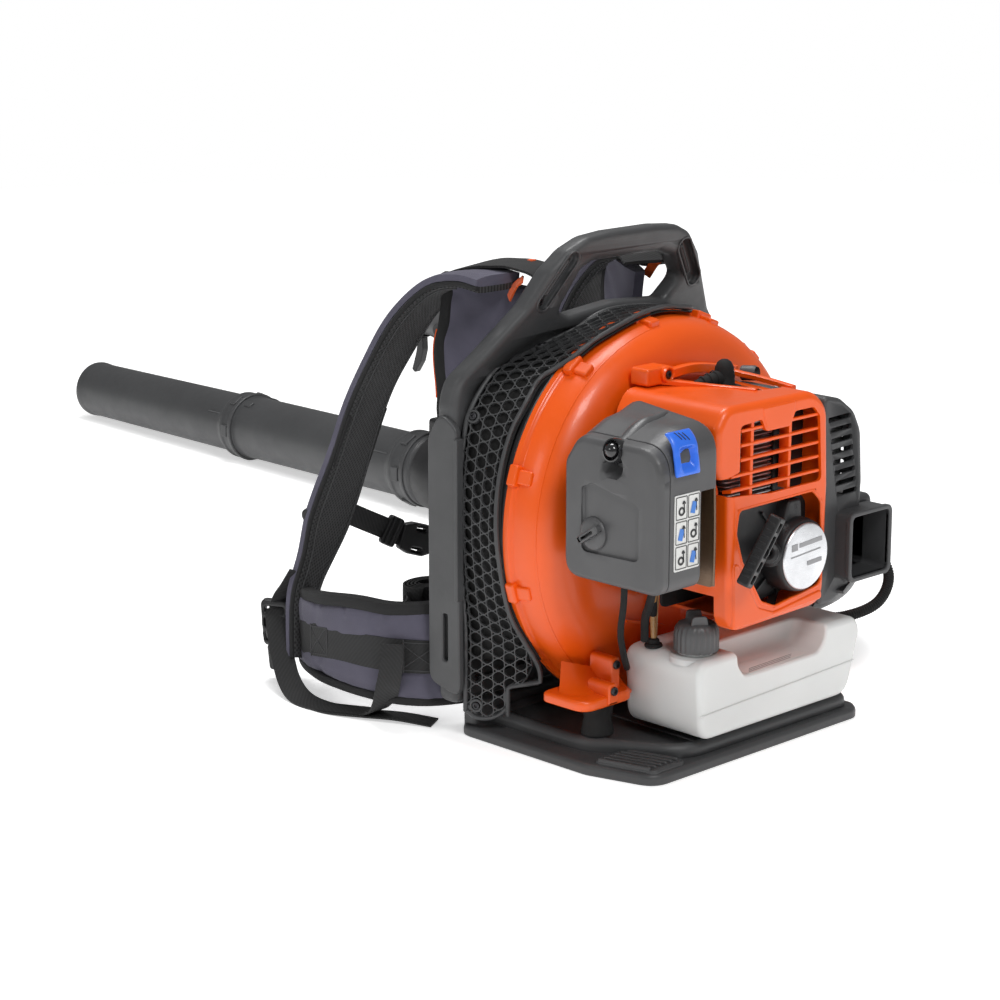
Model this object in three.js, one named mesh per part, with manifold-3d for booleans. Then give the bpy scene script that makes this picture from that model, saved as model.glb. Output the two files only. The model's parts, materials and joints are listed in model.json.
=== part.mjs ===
// Backpack leaf blower, standing on its base with the blow tube laid out ahead of it.
// Millimetres, +Z up, +Y ahead of the wearer (harness side), -Y the engine side, +X the tube side.
// The origin is the centre of the base's underside.
import * as THREE from "three";
import { mergeVertices } from "three/addons/utils/BufferGeometryUtils.js";
import Module from "manifold-3d";

// Driving dimensions
const GAP = 0.3;
const TURNING_GAP = 0.9;
const BASE = { x: 175, y0: -135, y1: 125, t: 10 };
const SCROLL = { x: 25, z: 225, r: 205, wall: 3, floor: 45 };
const SPLIT_Y = 50;
const CRANK = { x: 40, z: 205, r: 7 };
const FRAME = { y0: 112, y1: 138, xl: -190, xr: 214, xc: 12 };
const FILTER = { x0: -178, x1: -96, y0: -160, y1: -32, z0: 203, z1: 362 };
const COVER_SPLIT_X = -166;
const BULB = { y: -98, z: 345 };
const CORNER = { y: -138, z: 340, r: 22 };
const OUTLET = { y: 50, z: 105, r: 52, x1: 250 };
const HOSE_R = 46;
const YAW_PIVOT = new THREE.Vector3(410, 232, 78);
const PITCH_PIVOT = new THREE.Vector3(436, 322, 66);
const TUBE_START = new THREE.Vector3(452, 412, 58);
const TUBE_TIP = new THREE.Vector3(512, 1677, 44);
const CONTROL_LENGTH = 470;
const MIDDLE_END = 870;
const CONTROL_R = 47;
const MIDDLE_R = 45.5;
const NOZZLE_R = 43;
const TIP_R = 41;
const PULL = new THREE.Vector3(-0.819, -0.499, 0.285).normalize();
const ROPE_EXIT = new THREE.Vector3(-1.5, -147, 213);
const HANDLE_AT = 62;
const CAP_AT = new THREE.Vector3(-60, -103, 114);
const TANK = { x0: -90, x1: 168, y0: -134, y1: -38, z0: 30, z1: 113 };
const SEG = 28;

const wasm = await Module();
wasm.setup();

const palette = {
  orange: [0xf05a14, 0.45, 0],
  darkGrey: [0x4a4a4c, 0.55, 0],
  midGrey: [0x6a6a6c, 0.5, 0],
  black: [0x1b1b1c, 0.6, 0],
  rubber: [0x161616, 0.85, 0],
  blue: [0x2a66dc, 0.4, 0],
  milky: [0xe9e9e4, 0.45, 0],
  steel: [0xa8a8a8, 0.35, 1],
  alloy: [0xb9b9ba, 0.45, 1],
  shield: [0x6a5c50, 0.5, 1],
  fabric: [0x6d6a7c, 0.95, 0],
  mesh: [0x202022, 0.95, 0],
  amber: [0xb08a5a, 0.3, 0],
  silver: [0xc9cacc, 0.35, 1],
  paper: [0xd8cfae, 0.9, 0],
  porcelain: [0xeeeeea, 0.3, 0],
  red: [0xc8301c, 0.45, 0],
};

// ---- solids ----
function solid(geometry) {
  const bare = geometry.clone();
  bare.deleteAttribute("normal");
  bare.deleteAttribute("uv");
  const merged = mergeVertices(bare, 1e-4);
  const kept = [];
  const index = merged.index.array;
  for (let i = 0; i < index.length; i += 3) {
    const [a, b, c] = [index[i], index[i + 1], index[i + 2]];
    if (a !== b && b !== c && c !== a) kept.push(a, b, c);
  }
  const make = (tri) =>
    new wasm.Manifold(
      new wasm.Mesh({
        numProp: 3,
        vertProperties: merged.attributes.position.array,
        triVerts: new Uint32Array(tri),
      }),
    );
  const made = make(kept);
  if (made.volume() > 0) return made;
  const flipped = [];
  for (let i = 0; i < kept.length; i += 3) flipped.push(kept[i], kept[i + 2], kept[i + 1]);
  return make(flipped);
}

function join(...parts) {
  return parts.reduce((a, b) => a.add(b));
}

function cut(from, ...tools) {
  return tools.reduce((a, b) => a.subtract(b), from);
}

function block(x0, x1, y0, y1, z0, z1) {
  const g = new THREE.BoxGeometry(x1 - x0, y1 - y0, z1 - z0);
  return solid(g.translate((x0 + x1) / 2, (y0 + y1) / 2, (z0 + z1) / 2));
}

// A closed outline through the points, each corner rounded by up to r.
function outline(points, r = 0) {
  const shape = new THREE.Shape();
  const n = points.length;
  for (let i = 0; i < n; i++) {
    const p = new THREE.Vector2(...points[i]);
    const before = new THREE.Vector2(...points[(i + n - 1) % n]).sub(p);
    const after = new THREE.Vector2(...points[(i + 1) % n]).sub(p);
    const back = Math.min(r, before.length() * 0.45, after.length() * 0.45);
    const a = p.clone().addScaledVector(before.normalize(), back);
    const b = p.clone().addScaledVector(after.normalize(), back);
    if (i === 0) shape.moveTo(a.x, a.y);
    else shape.lineTo(a.x, a.y);
    if (back > 0) shape.quadraticCurveTo(p.x, p.y, b.x, b.y);
  }
  shape.closePath();
  return shape;
}

function extrude(shape, depth, bevel = 0) {
  return new THREE.ExtrudeGeometry(shape, {
    depth: depth - 2 * bevel,
    curveSegments: 3,
    bevelEnabled: bevel > 0,
    bevelSize: bevel,
    bevelThickness: bevel,
    bevelOffset: -bevel,
    bevelSegments: 1,
  }).translate(0, 0, bevel);
}

// Outline in X and Z, thickness along Y.
function alongY(shape, y0, y1, bevel = 0) {
  return solid(extrude(shape, y1 - y0, bevel).rotateX(Math.PI / 2).translate(0, y1, 0));
}

// Outline in Y and Z, thickness along X.
function alongX(shape, x0, x1, bevel = 0) {
  const turn = new THREE.Matrix4().makeBasis(
    new THREE.Vector3(0, 1, 0),
    new THREE.Vector3(0, 0, 1),
    new THREE.Vector3(1, 0, 0),
  );
  return solid(extrude(shape, x1 - x0, bevel).applyMatrix4(turn).translate(x0, 0, 0));
}

function alongZ(shape, z0, z1, bevel = 0) {
  return solid(extrude(shape, z1 - z0, bevel).translate(0, 0, z0));
}

// A turned solid about the Y direction through x, z; the profile is [radius, y] pairs.
function turned(profile, x, z, seg = SEG) {
  const points = profile.map(([r, y]) => new THREE.Vector2(r, y));
  const ends = profile[0][0] === 0 && profile[profile.length - 1][0] === 0;
  if (!ends) points.push(points[0].clone());
  return solid(new THREE.LatheGeometry(points, seg).translate(x, 0, z));
}

// A turned solid standing at a point and pointing along a direction.
function turnedAt(profile, at, direction, seg = 24) {
  const points = profile.map(([r, y]) => new THREE.Vector2(r, y));
  const ends = profile[0][0] === 0 && profile[profile.length - 1][0] === 0;
  if (!ends) points.push(points[0].clone());
  const turn = new THREE.Quaternion().setFromUnitVectors(
    new THREE.Vector3(0, 1, 0),
    direction.clone().normalize(),
  );
  const g = new THREE.LatheGeometry(points, seg).applyQuaternion(turn);
  return solid(g.translate(at.x, at.y, at.z));
}

function rod(a, b, r, seg = 16) {
  const d = b.clone().sub(a);
  return turnedAt([[0, 0], [r, 0], [r, d.length()], [0, d.length()]], a, d, seg);
}

function v(x, y, z) {
  return new THREE.Vector3(x, y, z);
}

// A round cord or pipe along a smooth path.
function sweep(points, r, seg = 10, steps = 20) {
  const circle = new THREE.Shape();
  for (let i = 0; i < seg; i++) {
    const a = (i / seg) * 2 * Math.PI;
    if (i === 0) circle.moveTo(r * Math.cos(a), r * Math.sin(a));
    else circle.lineTo(r * Math.cos(a), r * Math.sin(a));
  }
  circle.closePath();
  const path = new THREE.CatmullRomCurve3(points, false, "centripetal");
  return solid(
    new THREE.ExtrudeGeometry(circle, { steps, bevelEnabled: false, extrudePath: path }),
  );
}

// A flat band along points that share one x: width along X, thickness in the Y-Z plane.
function band(points, x0, x1, thick) {
  const curve = new THREE.CatmullRomCurve3(points.map(([y, z]) => v(0, y, z)), false, "centripetal");
  const n = points.length * 3;
  const left = [];
  const right = [];
  for (let i = 0; i <= n; i++) {
    const p = curve.getPoint(i / n);
    const t = curve.getTangent(i / n);
    left.push([p.y - (t.z * thick) / 2, p.z + (t.y * thick) / 2]);
    right.unshift([p.y + (t.z * thick) / 2, p.z - (t.y * thick) / 2]);
  }
  return alongX(outline([...left, ...right]), x0, x1);
}

const object = new THREE.Group();
object.name = "backpack_leaf_blower";

function add(name, body, colour) {
  const m = body.getMesh();
  const g = new THREE.BufferGeometry();
  g.setAttribute("position", new THREE.BufferAttribute(new Float32Array(m.vertProperties), 3));
  g.setIndex(new THREE.BufferAttribute(new Uint32Array(m.triVerts), 1));
  g.computeVertexNormals();
  const [color, roughness, metalness] = palette[colour];
  const material = new THREE.MeshStandardMaterial({ color, roughness, metalness });
  material.name = name;
  const mesh = new THREE.Mesh(g, material);
  mesh.name = name;
  object.add(mesh);
}

// ---- base and frame ----
function baseTray() {
  const { x, y0, y1, t } = BASE;
  const foot = outline([[-x, -60], [-x + 22, y0], [x - 12, y0], [x, y0 + 14], [x, y1], [-x, y1]], 24);
  const rim = outline([[-x + 26, y1 - 2], [-x + 26, -30], [-96, y0 + 12], [x - 10, y0 + 10], [x - 8, y1 - 2]], 20);
  const pad = outline([[-x + 6, -62], [-x + 26, y0 + 5], [-102, y0 + 5], [-118, -62]], 10);
  let tray = join(alongZ(foot, 0, t, 3), alongZ(rim, t - 2, 26, 3));
  tray = cut(tray, block(-96, x - 20, -30, y1 - 28, 18, 40));
  tray = join(tray, alongZ(pad, t - 1, 16, 1.5));
  for (let i = 0; i < 5; i++) {
    const px = -158 + i * 9;
    tray = join(tray, block(px, px + 4, -126, -78, 15, 18));
  }
  return join(tray, block(-168, 190, 104, y1 - 1, t - 2, 35.5));
}

// The handle half of the frame leans back over the fan, to put the grip over the weight.
function lean(z) {
  return -((z - 360) / 135) * 50;
}

function slab(shape, y0, y1) {
  const g = extrude(shape, y1 - y0, 0).rotateX(Math.PI / 2);
  return g.translate(0, y1, 0);
}

function backFrame() {
  const { y0, y1, xl, xr, xc } = FRAME;
  const low = [[xc - 202, 36], [xc + 202, 36], [xc + 202, 361], [xc - 202, 361]];
  const left = [[-20, 517], [-52, 514], [-74, 504], [-94, 482], [-112, 448], [-142, 420], [-186, 376], [-190, 360]];
  const right = [[214, 360], [212, 376], [176, 410], [152, 446], [130, 479], [106, 504], [84, 514], [50, 517]];
  const top = new THREE.Shape([...right, ...left].map(([x, z]) => new THREE.Vector2(x, z)));
  const hole = [[-66, 438], [-48, 480], [-36, 487], [66, 487], [88, 480], [112, 455], [94, 432], [20, 436], [-50, 430]];
  top.holes.push(new THREE.Path(hole.map(([x, z]) => new THREE.Vector2(x, z))));
  const g = slab(top, y0, y1);
  const p = g.attributes.position;
  for (let i = 0; i < p.count; i++) p.setY(i, p.getY(i) + lean(p.getZ(i)));
  let frame = join(solid(g), alongY(outline(low), y0, y1));
  const flange = outline([[100, 48], [146, 58], [146, 316], [128, 345], [104, 330]], 10);
  frame = join(frame, alongX(flange, xl - 3, xl + 4, 1.5), alongX(flange, xr - 4, xr + 3, 1.5));
  const slot = [-1, 1].map((s) => block(s > 0 ? xr - 9 : xl - 9, s > 0 ? xr + 9 : xl + 9, 118, 124, 84, 134));
  const duct = rod(v(150, OUTLET.y, OUTLET.z), v(300, OUTLET.y, OUTLET.z), OUTLET.r + 2, 24);
  return cut(frame, duct, ...slot);
}

function intakeScreen() {
  const { x, z, r } = SCROLL;
  const ring = turned([[r + 4, 57], [r + 6.5, 57], [r + 8.5, 99], [r + 6, 99]], x, z, 48);
  const behind = alongX(outline([[99.5, 290], [99.5, 340], [80, 425], [74, 445], [200, 445], [200, 290]]), -300, 300);
  return cut(ring, block(60, 300, 50, 120, 0, 392), block(-250, 300, 50, 120, 0, 38), behind);
}

// ---- fan ----
// Half of the scroll, from the split at ySide to its face; steps are [radius lost, depth from the face].
function scrollShape(grow, yFace, ySide, steps) {
  const { x, z, r, floor } = SCROLL;
  const toSide = Math.sign(ySide - yFace);
  const shoulder = steps.map(([lost, depth]) => [r + grow - lost, yFace + depth * toSide]);
  const profile = [[0, ySide], [r + grow, ySide], ...shoulder, [0, yFace]];
  const low = block(-400, 400, -100, 200, -200, floor - grow);
  return cut(turned(profile, x, z, 44), low);
}

function outletPipe(r, y0, y1, x0, x1) {
  const pipe = rod(v(x0, OUTLET.y, OUTLET.z), v(x1, OUTLET.y, OUTLET.z), r, 24);
  return pipe.intersect(block(x0 - 1, x1 + 1, y0, y1, 0, 300));
}

const FRONT_STEPS = [[0, 26], [10, 11], [34, 0]];
const REAR_STEPS = [[0, 36], [15, 16], [55, 0]];

function fanHousingFront() {
  const y1 = SPLIT_Y;
  const { wall } = SCROLL;
  let body = join(scrollShape(0, -10, y1, FRONT_STEPS), outletPipe(OUTLET.r, -60, y1, 60, OUTLET.x1));
  const bore = join(
    scrollShape(-wall, -10 + wall, y1 + 1, FRONT_STEPS),
    outletPipe(OUTLET.r - wall, -60, y1 + 1, 60, OUTLET.x1 + 1),
  );
  body = cut(body, bore, turned([[0, -20], [44, -20], [44, 0], [0, 0]], CRANK.x, CRANK.z));
  const foot = join(block(-165, -94, -50, -2, 60, 68), block(-150, -100, -9.5, -3, 60, 120));
  const clips = [100, 122, 148, 170, 192, 212].map((a) => {
    const t = (a * Math.PI) / 180;
    const at = [SCROLL.x + 205 * Math.cos(t), SCROLL.z + 205 * Math.sin(t)];
    return block(at[0] - 7, at[0] + 7, 33, y1, at[1] - 7, at[1] + 7);
  });
  body = join(body, foot, ...clips);
  return cut(body, bore, turned([[SCROLL.r + 3.5, 56], [SCROLL.r + 3.5, -20], [600, -20], [600, 56]], SCROLL.x, SCROLL.z)
    .subtract(join(outletPipe(OUTLET.r, -60, y1, 150, OUTLET.x1), block(-400, 20, -60, 60, 0, 120))));
}

function fanHousingRear() {
  const y0 = SPLIT_Y + GAP;
  const { wall } = SCROLL;
  const body = join(scrollShape(0, 98, y0, REAR_STEPS), outletPipe(OUTLET.r, y0, 200, 60, OUTLET.x1));
  const bore = join(
    scrollShape(-wall, 98 - wall, y0 - 1, REAR_STEPS),
    outletPipe(OUTLET.r - wall, y0 - 1, 200, 60, OUTLET.x1 + 1),
  );
  return cut(body, bore, turned([[0, 85], [72, 85], [72, 120], [0, 120]], CRANK.x, CRANK.z));
}

function impeller() {
  const { x, z, r } = CRANK;
  let fan = turned([[r + 0.05, 20], [22, 20], [26, 26], [148, 26], [148, 29], [30, 29], [20, 74], [r + 0.05, 74]], x, z);
  const blades = [];
  for (let i = 0; i < 12; i++) {
    const blade = new THREE.BoxGeometry(78, 52, 3).rotateY(0.5).translate(104, 54, 0);
    blades.push(solid(blade.rotateY((i / 12) * 2 * Math.PI).translate(x, 0, z)));
  }
  fan = join(fan, ...blades);
  return join(fan, turned([[112, 78], [146, 78], [146, 81], [112, 81]], x, z));
}

// ---- engine ----
function crankshaft() {
  const { x, z, r } = CRANK;
  return turned([[0, -118], [5, -118], [5, -100], [r, -96], [r, 80], [0, 80]], x, z, 20);
}

function flywheel() {
  const { x, z, r } = CRANK;
  let wheel = turned([[r + 0.05, -94], [35, -94], [35, -78], [12, -74], [r + 0.05, -74]], x, z);
  for (let i = 0; i < 10; i++) {
    const fin = new THREE.BoxGeometry(16, 9, 2).rotateY(0.3).translate(25, -98, 0);
    wheel = join(wheel, solid(fin.rotateY((i / 10) * 2 * Math.PI).translate(x, 0, z)));
  }
  return wheel;
}

function crankcase() {
  const { x, z, r } = CRANK;
  const caseBody = turned([[r + 0.5, -70], [32, -70], [37, -62], [37, -12], [r + 0.5, -12]], x, z);
  const deck = block(x - 30, x + 30, -66, -16, z + 20, z + 48);
  const bore = turned([[0, -80], [r + 0.5, -80], [r + 0.5, 0], [0, 0]], x, z, 20);
  return cut(join(caseBody, deck), bore, turned([[0, -60], [27, -60], [27, -22], [0, -22]], x, z));
}

function cylinder() {
  const { x } = CRANK;
  const y = -41;
  let body = turnedAt([[0, 0], [24, 0], [24, 88], [0, 88]], v(x, y, 253.5), v(0, 0, 1), 16);
  for (let i = 0; i < 7; i++) {
    const z = 264 + i * 11;
    body = join(body, block(x - 36, x + 36, y - 34, y + 28, z, z + 2.6));
  }
  return body;
}

function sparkPlug() {
  const at = v(CRANK.x, -41, 341.9);
  return turnedAt([[0, 0], [9, 0], [9, 6], [5, 8], [5, 18], [0, 18]], at, v(0, 0, 1), 6);
}

function sparkPlugBoot() {
  const x = CRANK.x;
  const cap = turnedAt([[5.4, 0], [11, 0], [12, 14], [8, 26], [0, 29], [0, 19], [5.4, 19]], v(x, -41, 351), v(0, 0, 1), 20);
  return join(cap, sweep([v(x, -48, 372), v(x - 2, -72, 374), v(x - 6, -96, 366)], 5, 10, 8));
}

function engineCover() {
  const side = (k) => outline([
    [-66 + k, 142 + k], [-70 + k, 290], [-90 + k, 312], [-90 + k, 352], [-76 + k, 371 - k],
    [58 - k, 371 - k], [80 - k, 352], [83 - k, 270], [80 - k, 146 + k],
  ], 10);
  let body = alongY(side(0), -152, -18, 5);
  body = cut(body, alongY(side(3), -148.5, 0));
  body = cut(body, turned([[0, -160], [39, -160], [39, -140], [0, -140]], CRANK.x, CRANK.z));
  for (let row = 0; row < 6; row++) {
    const z = 279 + row * 12.5;
    for (const [a, b] of [[-44, -14], [-10, 32], [36, 66]]) {
      if (row === 5 && a === -10) continue;
      body = cut(body, block(a, b, -160, -140, z, z + 8.5));
    }
  }
  const recess = outline([[14, -112], [66, -112], [66, -20], [14, -20]], 10);
  return cut(
    body,
    alongZ(recess, 360, 380),
    block(-120, 0, -30, 0, 130, 300),
    block(-100, -55, -66, -20, 240, 272),
    block(-14, 10, -160, -140, 200, 228),
    block(-100, -30, -131, 0, 130, 177),
  );
}

function starterHousing() {
  const { x, z } = CRANK;
  const cup = turned([
    [12, -158], [33, -158], [38, -151], [38.3, -124], [35.3, -124], [35.3, -150], [32, -154.5], [12, -154.5],
  ], x, z);
  const boss = rod(v(-4, -144, 212.5), v(16, -134, 207), 8, 14);
  const clear = turned([[0, -154.5], [32, -154.5], [35.3, -150], [35.3, -100], [0, -100]], x, z);
  const ropeHole = rod(v(-20, -152.5, 216.5), v(20, -135, 206), 2.6, 10);
  return cut(join(cup, boss.intersect(block(0, 30, -151, -120, 150, 260))), clear, ropeHole);
}

function starterPulley() {
  return turned([[5.4, -146], [26, -146], [26, -143], [20, -141], [26, -139], [26, -136], [5.4, -136]], CRANK.x, CRANK.z, 28);
}

function starterPost() {
  return turned([[0, -153.5], [11, -153.5], [11, -148], [5, -148], [5, -119], [0, -119]], CRANK.x, CRANK.z, 20);
}

function starterLabel() {
  return turned([[0, -158.3], [0, -160], [33, -160], [35, -158.3]], CRANK.x, CRANK.z);
}

function starterRope() {
  const a = ROPE_EXIT.clone().addScaledVector(PULL, 3);
  return rod(a, ROPE_EXIT.clone().addScaledVector(PULL, HANDLE_AT - 16.5), 1.8, 8);
}

function starterHandle() {
  const centre = ROPE_EXIT.clone().addScaledVector(PULL, HANDLE_AT);
  const bar = v(-0.427, 0.199, -0.882).projectOnPlane(PULL).normalize();
  const a = centre.clone().addScaledVector(bar, -38);
  const profile = [[0, 0], [6, 0], [8, 4], [8, 30], [9, 38], [8, 46], [8, 72], [6, 76], [0, 76]];
  const grip = turnedAt(profile, a, bar, 14);
  return join(grip, rod(ROPE_EXIT.clone().addScaledVector(PULL, HANDLE_AT - 16), centre, 5, 12));
}

function muffler() {
  return alongY(outline([[88, 252], [143, 252], [143, 330], [88, 330]], 10), -125, -35, 4);
}

function mufflerCover() {
  const side = (k) => outline([[86, 142 + k], [140 - k, 146 + k], [150 - k, 250], [147 - k, 336], [134 - k, 354 - k], [86, 354 - k]], 8);
  let body = cut(alongY(side(0), -142, -22, 4), alongY(side(3), -138.5, -25.5));
  body = cut(body, block(80, 88.5, -139, -25, 145, 350));
  for (let i = 0; i < 8; i++) {
    const z = 262 + i * 10;
    body = cut(body, block(94, 138, -150, -130, z, z + 5));
  }
  const duct = (k, y0, y1) => alongY(outline([[108 + k, 164 + k], [176 - k, 164 + k], [176 - k, 236 - k], [108 + k, 236 - k]], 8), y0, y1);
  return cut(join(body, duct(0, -162, -60)), duct(7, -180, -50));
}

function ignitionCoil() {
  return alongY(outline([[-8, 236], [8, 236], [8, 262], [-8, 262]], 3), -92, -76, 2);
}

function carburettor() {
  const body = alongY(outline([[-62, 238], [-30, 238], [-30, 274], [-62, 274]], 5), -72, -30, 3);
  return join(body, rod(v(-86, -50, 256), v(-20, -50, 256), 12, 14));
}

function heatShield() {
  return block(-93, -91.8, -150, -60, 205, 300);
}

// ---- air filter ----
function filterSide(k) {
  const { y0, y1, z0 } = FILTER;
  const round = [];
  for (let i = 0; i <= 5; i++) {
    const a = Math.PI / 2 + (i / 5) * (Math.PI / 2);
    round.push([CORNER.y + (CORNER.r - k) * Math.cos(a), CORNER.z + (CORNER.r - k) * Math.sin(a)]);
  }
  return outline([...round, [y0 + k, z0 + k], [y1 - k, z0 + k], [y1 - k, 335], [-50, 362 - k]]);
}

function filterBase() {
  const body = alongX(filterSide(0), COVER_SPLIT_X + GAP, FILTER.x1);
  return cut(body, alongX(filterSide(4), COVER_SPLIT_X - 5, FILTER.x1 - 6));
}

function filterElement() {
  return alongX(outline([[-150, 214], [-42, 214], [-42, 330], [-150, 330]], 10), -156, -116, 3);
}

function filterCover() {
  const body = alongX(filterSide(0), FILTER.x0, COVER_SPLIT_X, 6);
  const bulbHole = rod(v(FILTER.x0 - 5, BULB.y, BULB.z), v(FILTER.x0 + 8, BULB.y, BULB.z), 9.6, 20);
  return cut(body, alongX(filterSide(4), FILTER.x0 + 4, COVER_SPLIT_X + 5), bulbHole);
}

function coverKnob() {
  const disc = turnedAt([[0, 0], [15, 0], [15, 3], [12, 6], [0, 6]], v(FILTER.x0 - GAP, -72, 250), v(-1, 0, 0), 24);
  return join(disc, block(FILTER.x0 - 14, FILTER.x0 - 5, -75, -69, 239, 261));
}

function chokeLever() {
  const points = [];
  const far = CORNER.r + 6;
  const near = CORNER.r + 0.8;
  const at = (r, deg) => [CORNER.y + r * Math.cos((deg * Math.PI) / 180), CORNER.z + r * Math.sin((deg * Math.PI) / 180)];
  for (let d = 127; d <= 180; d += 10.6) points.push(at(far, d));
  points.push([CORNER.y - far - 3, 322], [CORNER.y - near, 318]);
  for (let d = 180; d >= 127; d -= 10.6) points.push(at(near, d));
  return alongX(outline(points), -163, -129, 1.5);
}

function purgeBulb() {
  return turnedAt([[0, 0], [8, 0], [9, 4], [7, 10], [0, 12]], v(FILTER.x0 - GAP, BULB.y, BULB.z), v(-1, 0, 0), 20);
}

// ---- fuel ----
function fuelTank() {
  const { x0, x1, y0, y1, z0, z1 } = TANK;
  const side = (k) => outline([
    [x0 + 6 + k, z0 + k], [x1 - 14 - k, z0 + k], [x1 - k, 92], [x1 - 6 - k, z1 - 2 - k], [26, z1 - k - 4],
    [10, 98 - k], [-28, 98 - k], [-38, z1 - k], [x0 + k, z1 - k],
  ], 9);
  const outer = alongY(side(0), y0, y1, 6);
  const neck = turnedAt([[0, -6], [17, -6], [17, 8], [0, 8]], CAP_AT, v(0, 0, 1), 28);
  const inner = alongY(side(3), y0 + 4, y1 - 4, 3);
  return cut(join(outer, neck), inner, turnedAt([[0, -30], [13, -30], [13, 12], [0, 12]], CAP_AT, v(0, 0, 1), 28));
}

function fuelCap() {
  const skirt = turnedAt([
    [17.4, 1.5], [22, 1.5], [23, 6], [23, 26], [19, 30], [0, 30], [0, 9.5], [17.4, 9.5],
  ], CAP_AT, v(0, 0, 1), 28);
  return join(skirt, block(CAP_AT.x - 3, CAP_AT.x + 3, CAP_AT.y - 15, CAP_AT.y + 15, CAP_AT.z + 29, CAP_AT.z + 38));
}

function tankGrommet() {
  return turnedAt([[0, 0], [8, 0], [8, 5], [5, 8], [0, 8]], v(-74, -58, TANK.z1 + GAP), v(0, 0, 1), 14);
}

function fuelLine() {
  return sweep([v(-74, -58, TANK.z1 + 9.6), v(-82, -56, 150), v(-84, -52, 200), v(-82, -50, 239)], 3.2, 8, 12);
}

function damper(x, y, h) {
  return turnedAt([[0, 0], [16, 0], [13, h / 2], [16, h], [0, h]], v(x, y, 26.5), v(0, 0, 1), 20);
}

// ---- air path ----
function elbow() {
  const path = [v(OUTLET.x1 + 2, 50, 105), v(300, 50.5, 105), v(352, 78, 97), v(382, 126, 88), v(394, 160, 83)];
  const outer = sweep(path, 51, 24, 8);
  const long = [v(OUTLET.x1 - 9, 50, 105), ...path.slice(1, -1), v(400, 180, 80)];
  return cut(outer, sweep(long, 46.5, 24, 10));
}

function alongLine(a, b, profile, seg = 24) {
  return turnedAt(profile, a, b.clone().sub(a), seg);
}

// One end carries a ball zone on the next pivot, the other a collar over the ball before it.
function hoseRear() {
  const a = v(396, 165, 82);
  const d = YAW_PIVOT.distanceTo(a);
  return alongLine(a, YAW_PIVOT, [[HOSE_R - 3, 0], [HOSE_R, 0], [HOSE_R, d - 26], [50, d - 17], [52, d - 7], [52.6, d], [50, d], [49.5, d - 7], [HOSE_R - 3, d - 26]]);
}

function hoseMid() {
  const d = PITCH_PIVOT.distanceTo(YAW_PIVOT);
  return alongLine(YAW_PIVOT, PITCH_PIVOT, [
    [54.9, -9], [57, -9], [57, 16], [HOSE_R, 36], [HOSE_R, d - 26], [50, d - 17], [52, d - 7], [52.6, d], [50, d],
    [49.5, d - 7], [HOSE_R - 3, d - 26], [HOSE_R - 3, 34], [54.9, 14],
  ]);
}

function hoseFront() {
  const d = TUBE_START.distanceTo(PITCH_PIVOT);
  return alongLine(PITCH_PIVOT, TUBE_START, [
    [54.9, -9], [57, -9], [57, 16], [HOSE_R + 2, 36], [HOSE_R + 2, d - 9], [HOSE_R - 3, d - 9],
    [HOSE_R - 3, 34], [54.9, 14],
  ]);
}

function onTube(s0, profile, seg = 24) {
  const d = TUBE_TIP.clone().sub(TUBE_START).normalize();
  return turnedAt(profile, TUBE_START.clone().addScaledVector(d, s0), d, seg);
}

function lugs(s, r) {
  const d = TUBE_TIP.clone().sub(TUBE_START).normalize();
  const turn = new THREE.Quaternion().setFromUnitVectors(v(0, 1, 0), d);
  return [90, 210, 330].map((deg) => {
    const g = new THREE.BoxGeometry(6, 22, 14).translate(r, s, 0).rotateY((deg * Math.PI) / 180);
    return solid(g.applyQuaternion(turn).translate(TUBE_START.x, TUBE_START.y, TUBE_START.z));
  });
}

function controlTube() {
  const r = CONTROL_R;
  return onTube(0, [[r - 3, 0], [r, 0], [r, CONTROL_LENGTH], [r - 3, CONTROL_LENGTH]]);
}

function middleTube() {
  const s = CONTROL_LENGTH - 24;
  const l = MIDDLE_END - s;
  const socket = CONTROL_R + GAP;
  const tube = onTube(s, [
    [socket, 0], [socket + 3, 0], [socket + 3, 30], [MIDDLE_R, 36], [MIDDLE_R, l], [MIDDLE_R - 2.7, l],
    [MIDDLE_R - 2.7, 27], [socket, 25],
  ]);
  const bore = onTube(s - 5, [[0, 0], [MIDDLE_R - 2.7, 0], [MIDDLE_R - 2.7, l + 9], [0, l + 9]]);
  const joint = onTube(s - 5, [[0, 0], [socket, 0], [socket, 30], [0, 30]]);
  return cut(join(tube, ...lugs(s + 14, socket + 4)), bore, joint);
}

function nozzleTube() {
  const s = MIDDLE_END - 24;
  const l = TUBE_TIP.distanceTo(TUBE_START) - s;
  const socket = MIDDLE_R + TURNING_GAP;
  const tube = onTube(s, [
    [socket, 0], [socket + 3, 0], [socket + 3, 30], [NOZZLE_R, 38], [TIP_R, l - 5], [TIP_R - 1, l], [TIP_R - 3, l],
    [NOZZLE_R - 2.7, 27], [socket, 25],
  ]);
  const joint = onTube(s - 5, [[0, 0], [socket, 0], [socket, 30], [0, 30]]);
  const bore = onTube(s + 10, [[0, 0], [NOZZLE_R - 2.7, 0], [NOZZLE_R - 2.7, 30], [0, 30]]);
  return cut(join(tube, ...lugs(s + 14, socket + 4)), joint, bore);
}

// ---- control handle ----
const GRIP_S = 432;

function onTubePoint(s, side, up) {
  const d = TUBE_TIP.clone().sub(TUBE_START).normalize();
  return TUBE_START.clone().addScaledVector(d, s).add(v(side, 0, up));
}

function handleClamp() {
  const r = CONTROL_R + TURNING_GAP;
  const ring = onTube(388, [[r, 0], [r + 5, 0], [r + 5, 42], [r, 42]]);
  const c = onTubePoint(409, 0, 0);
  return join(ring, block(c.x - 14, c.x + 14, c.y - 20, c.y + 20, c.z + r + 2, c.z + CONTROL_R + 12.3));
}

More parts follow.
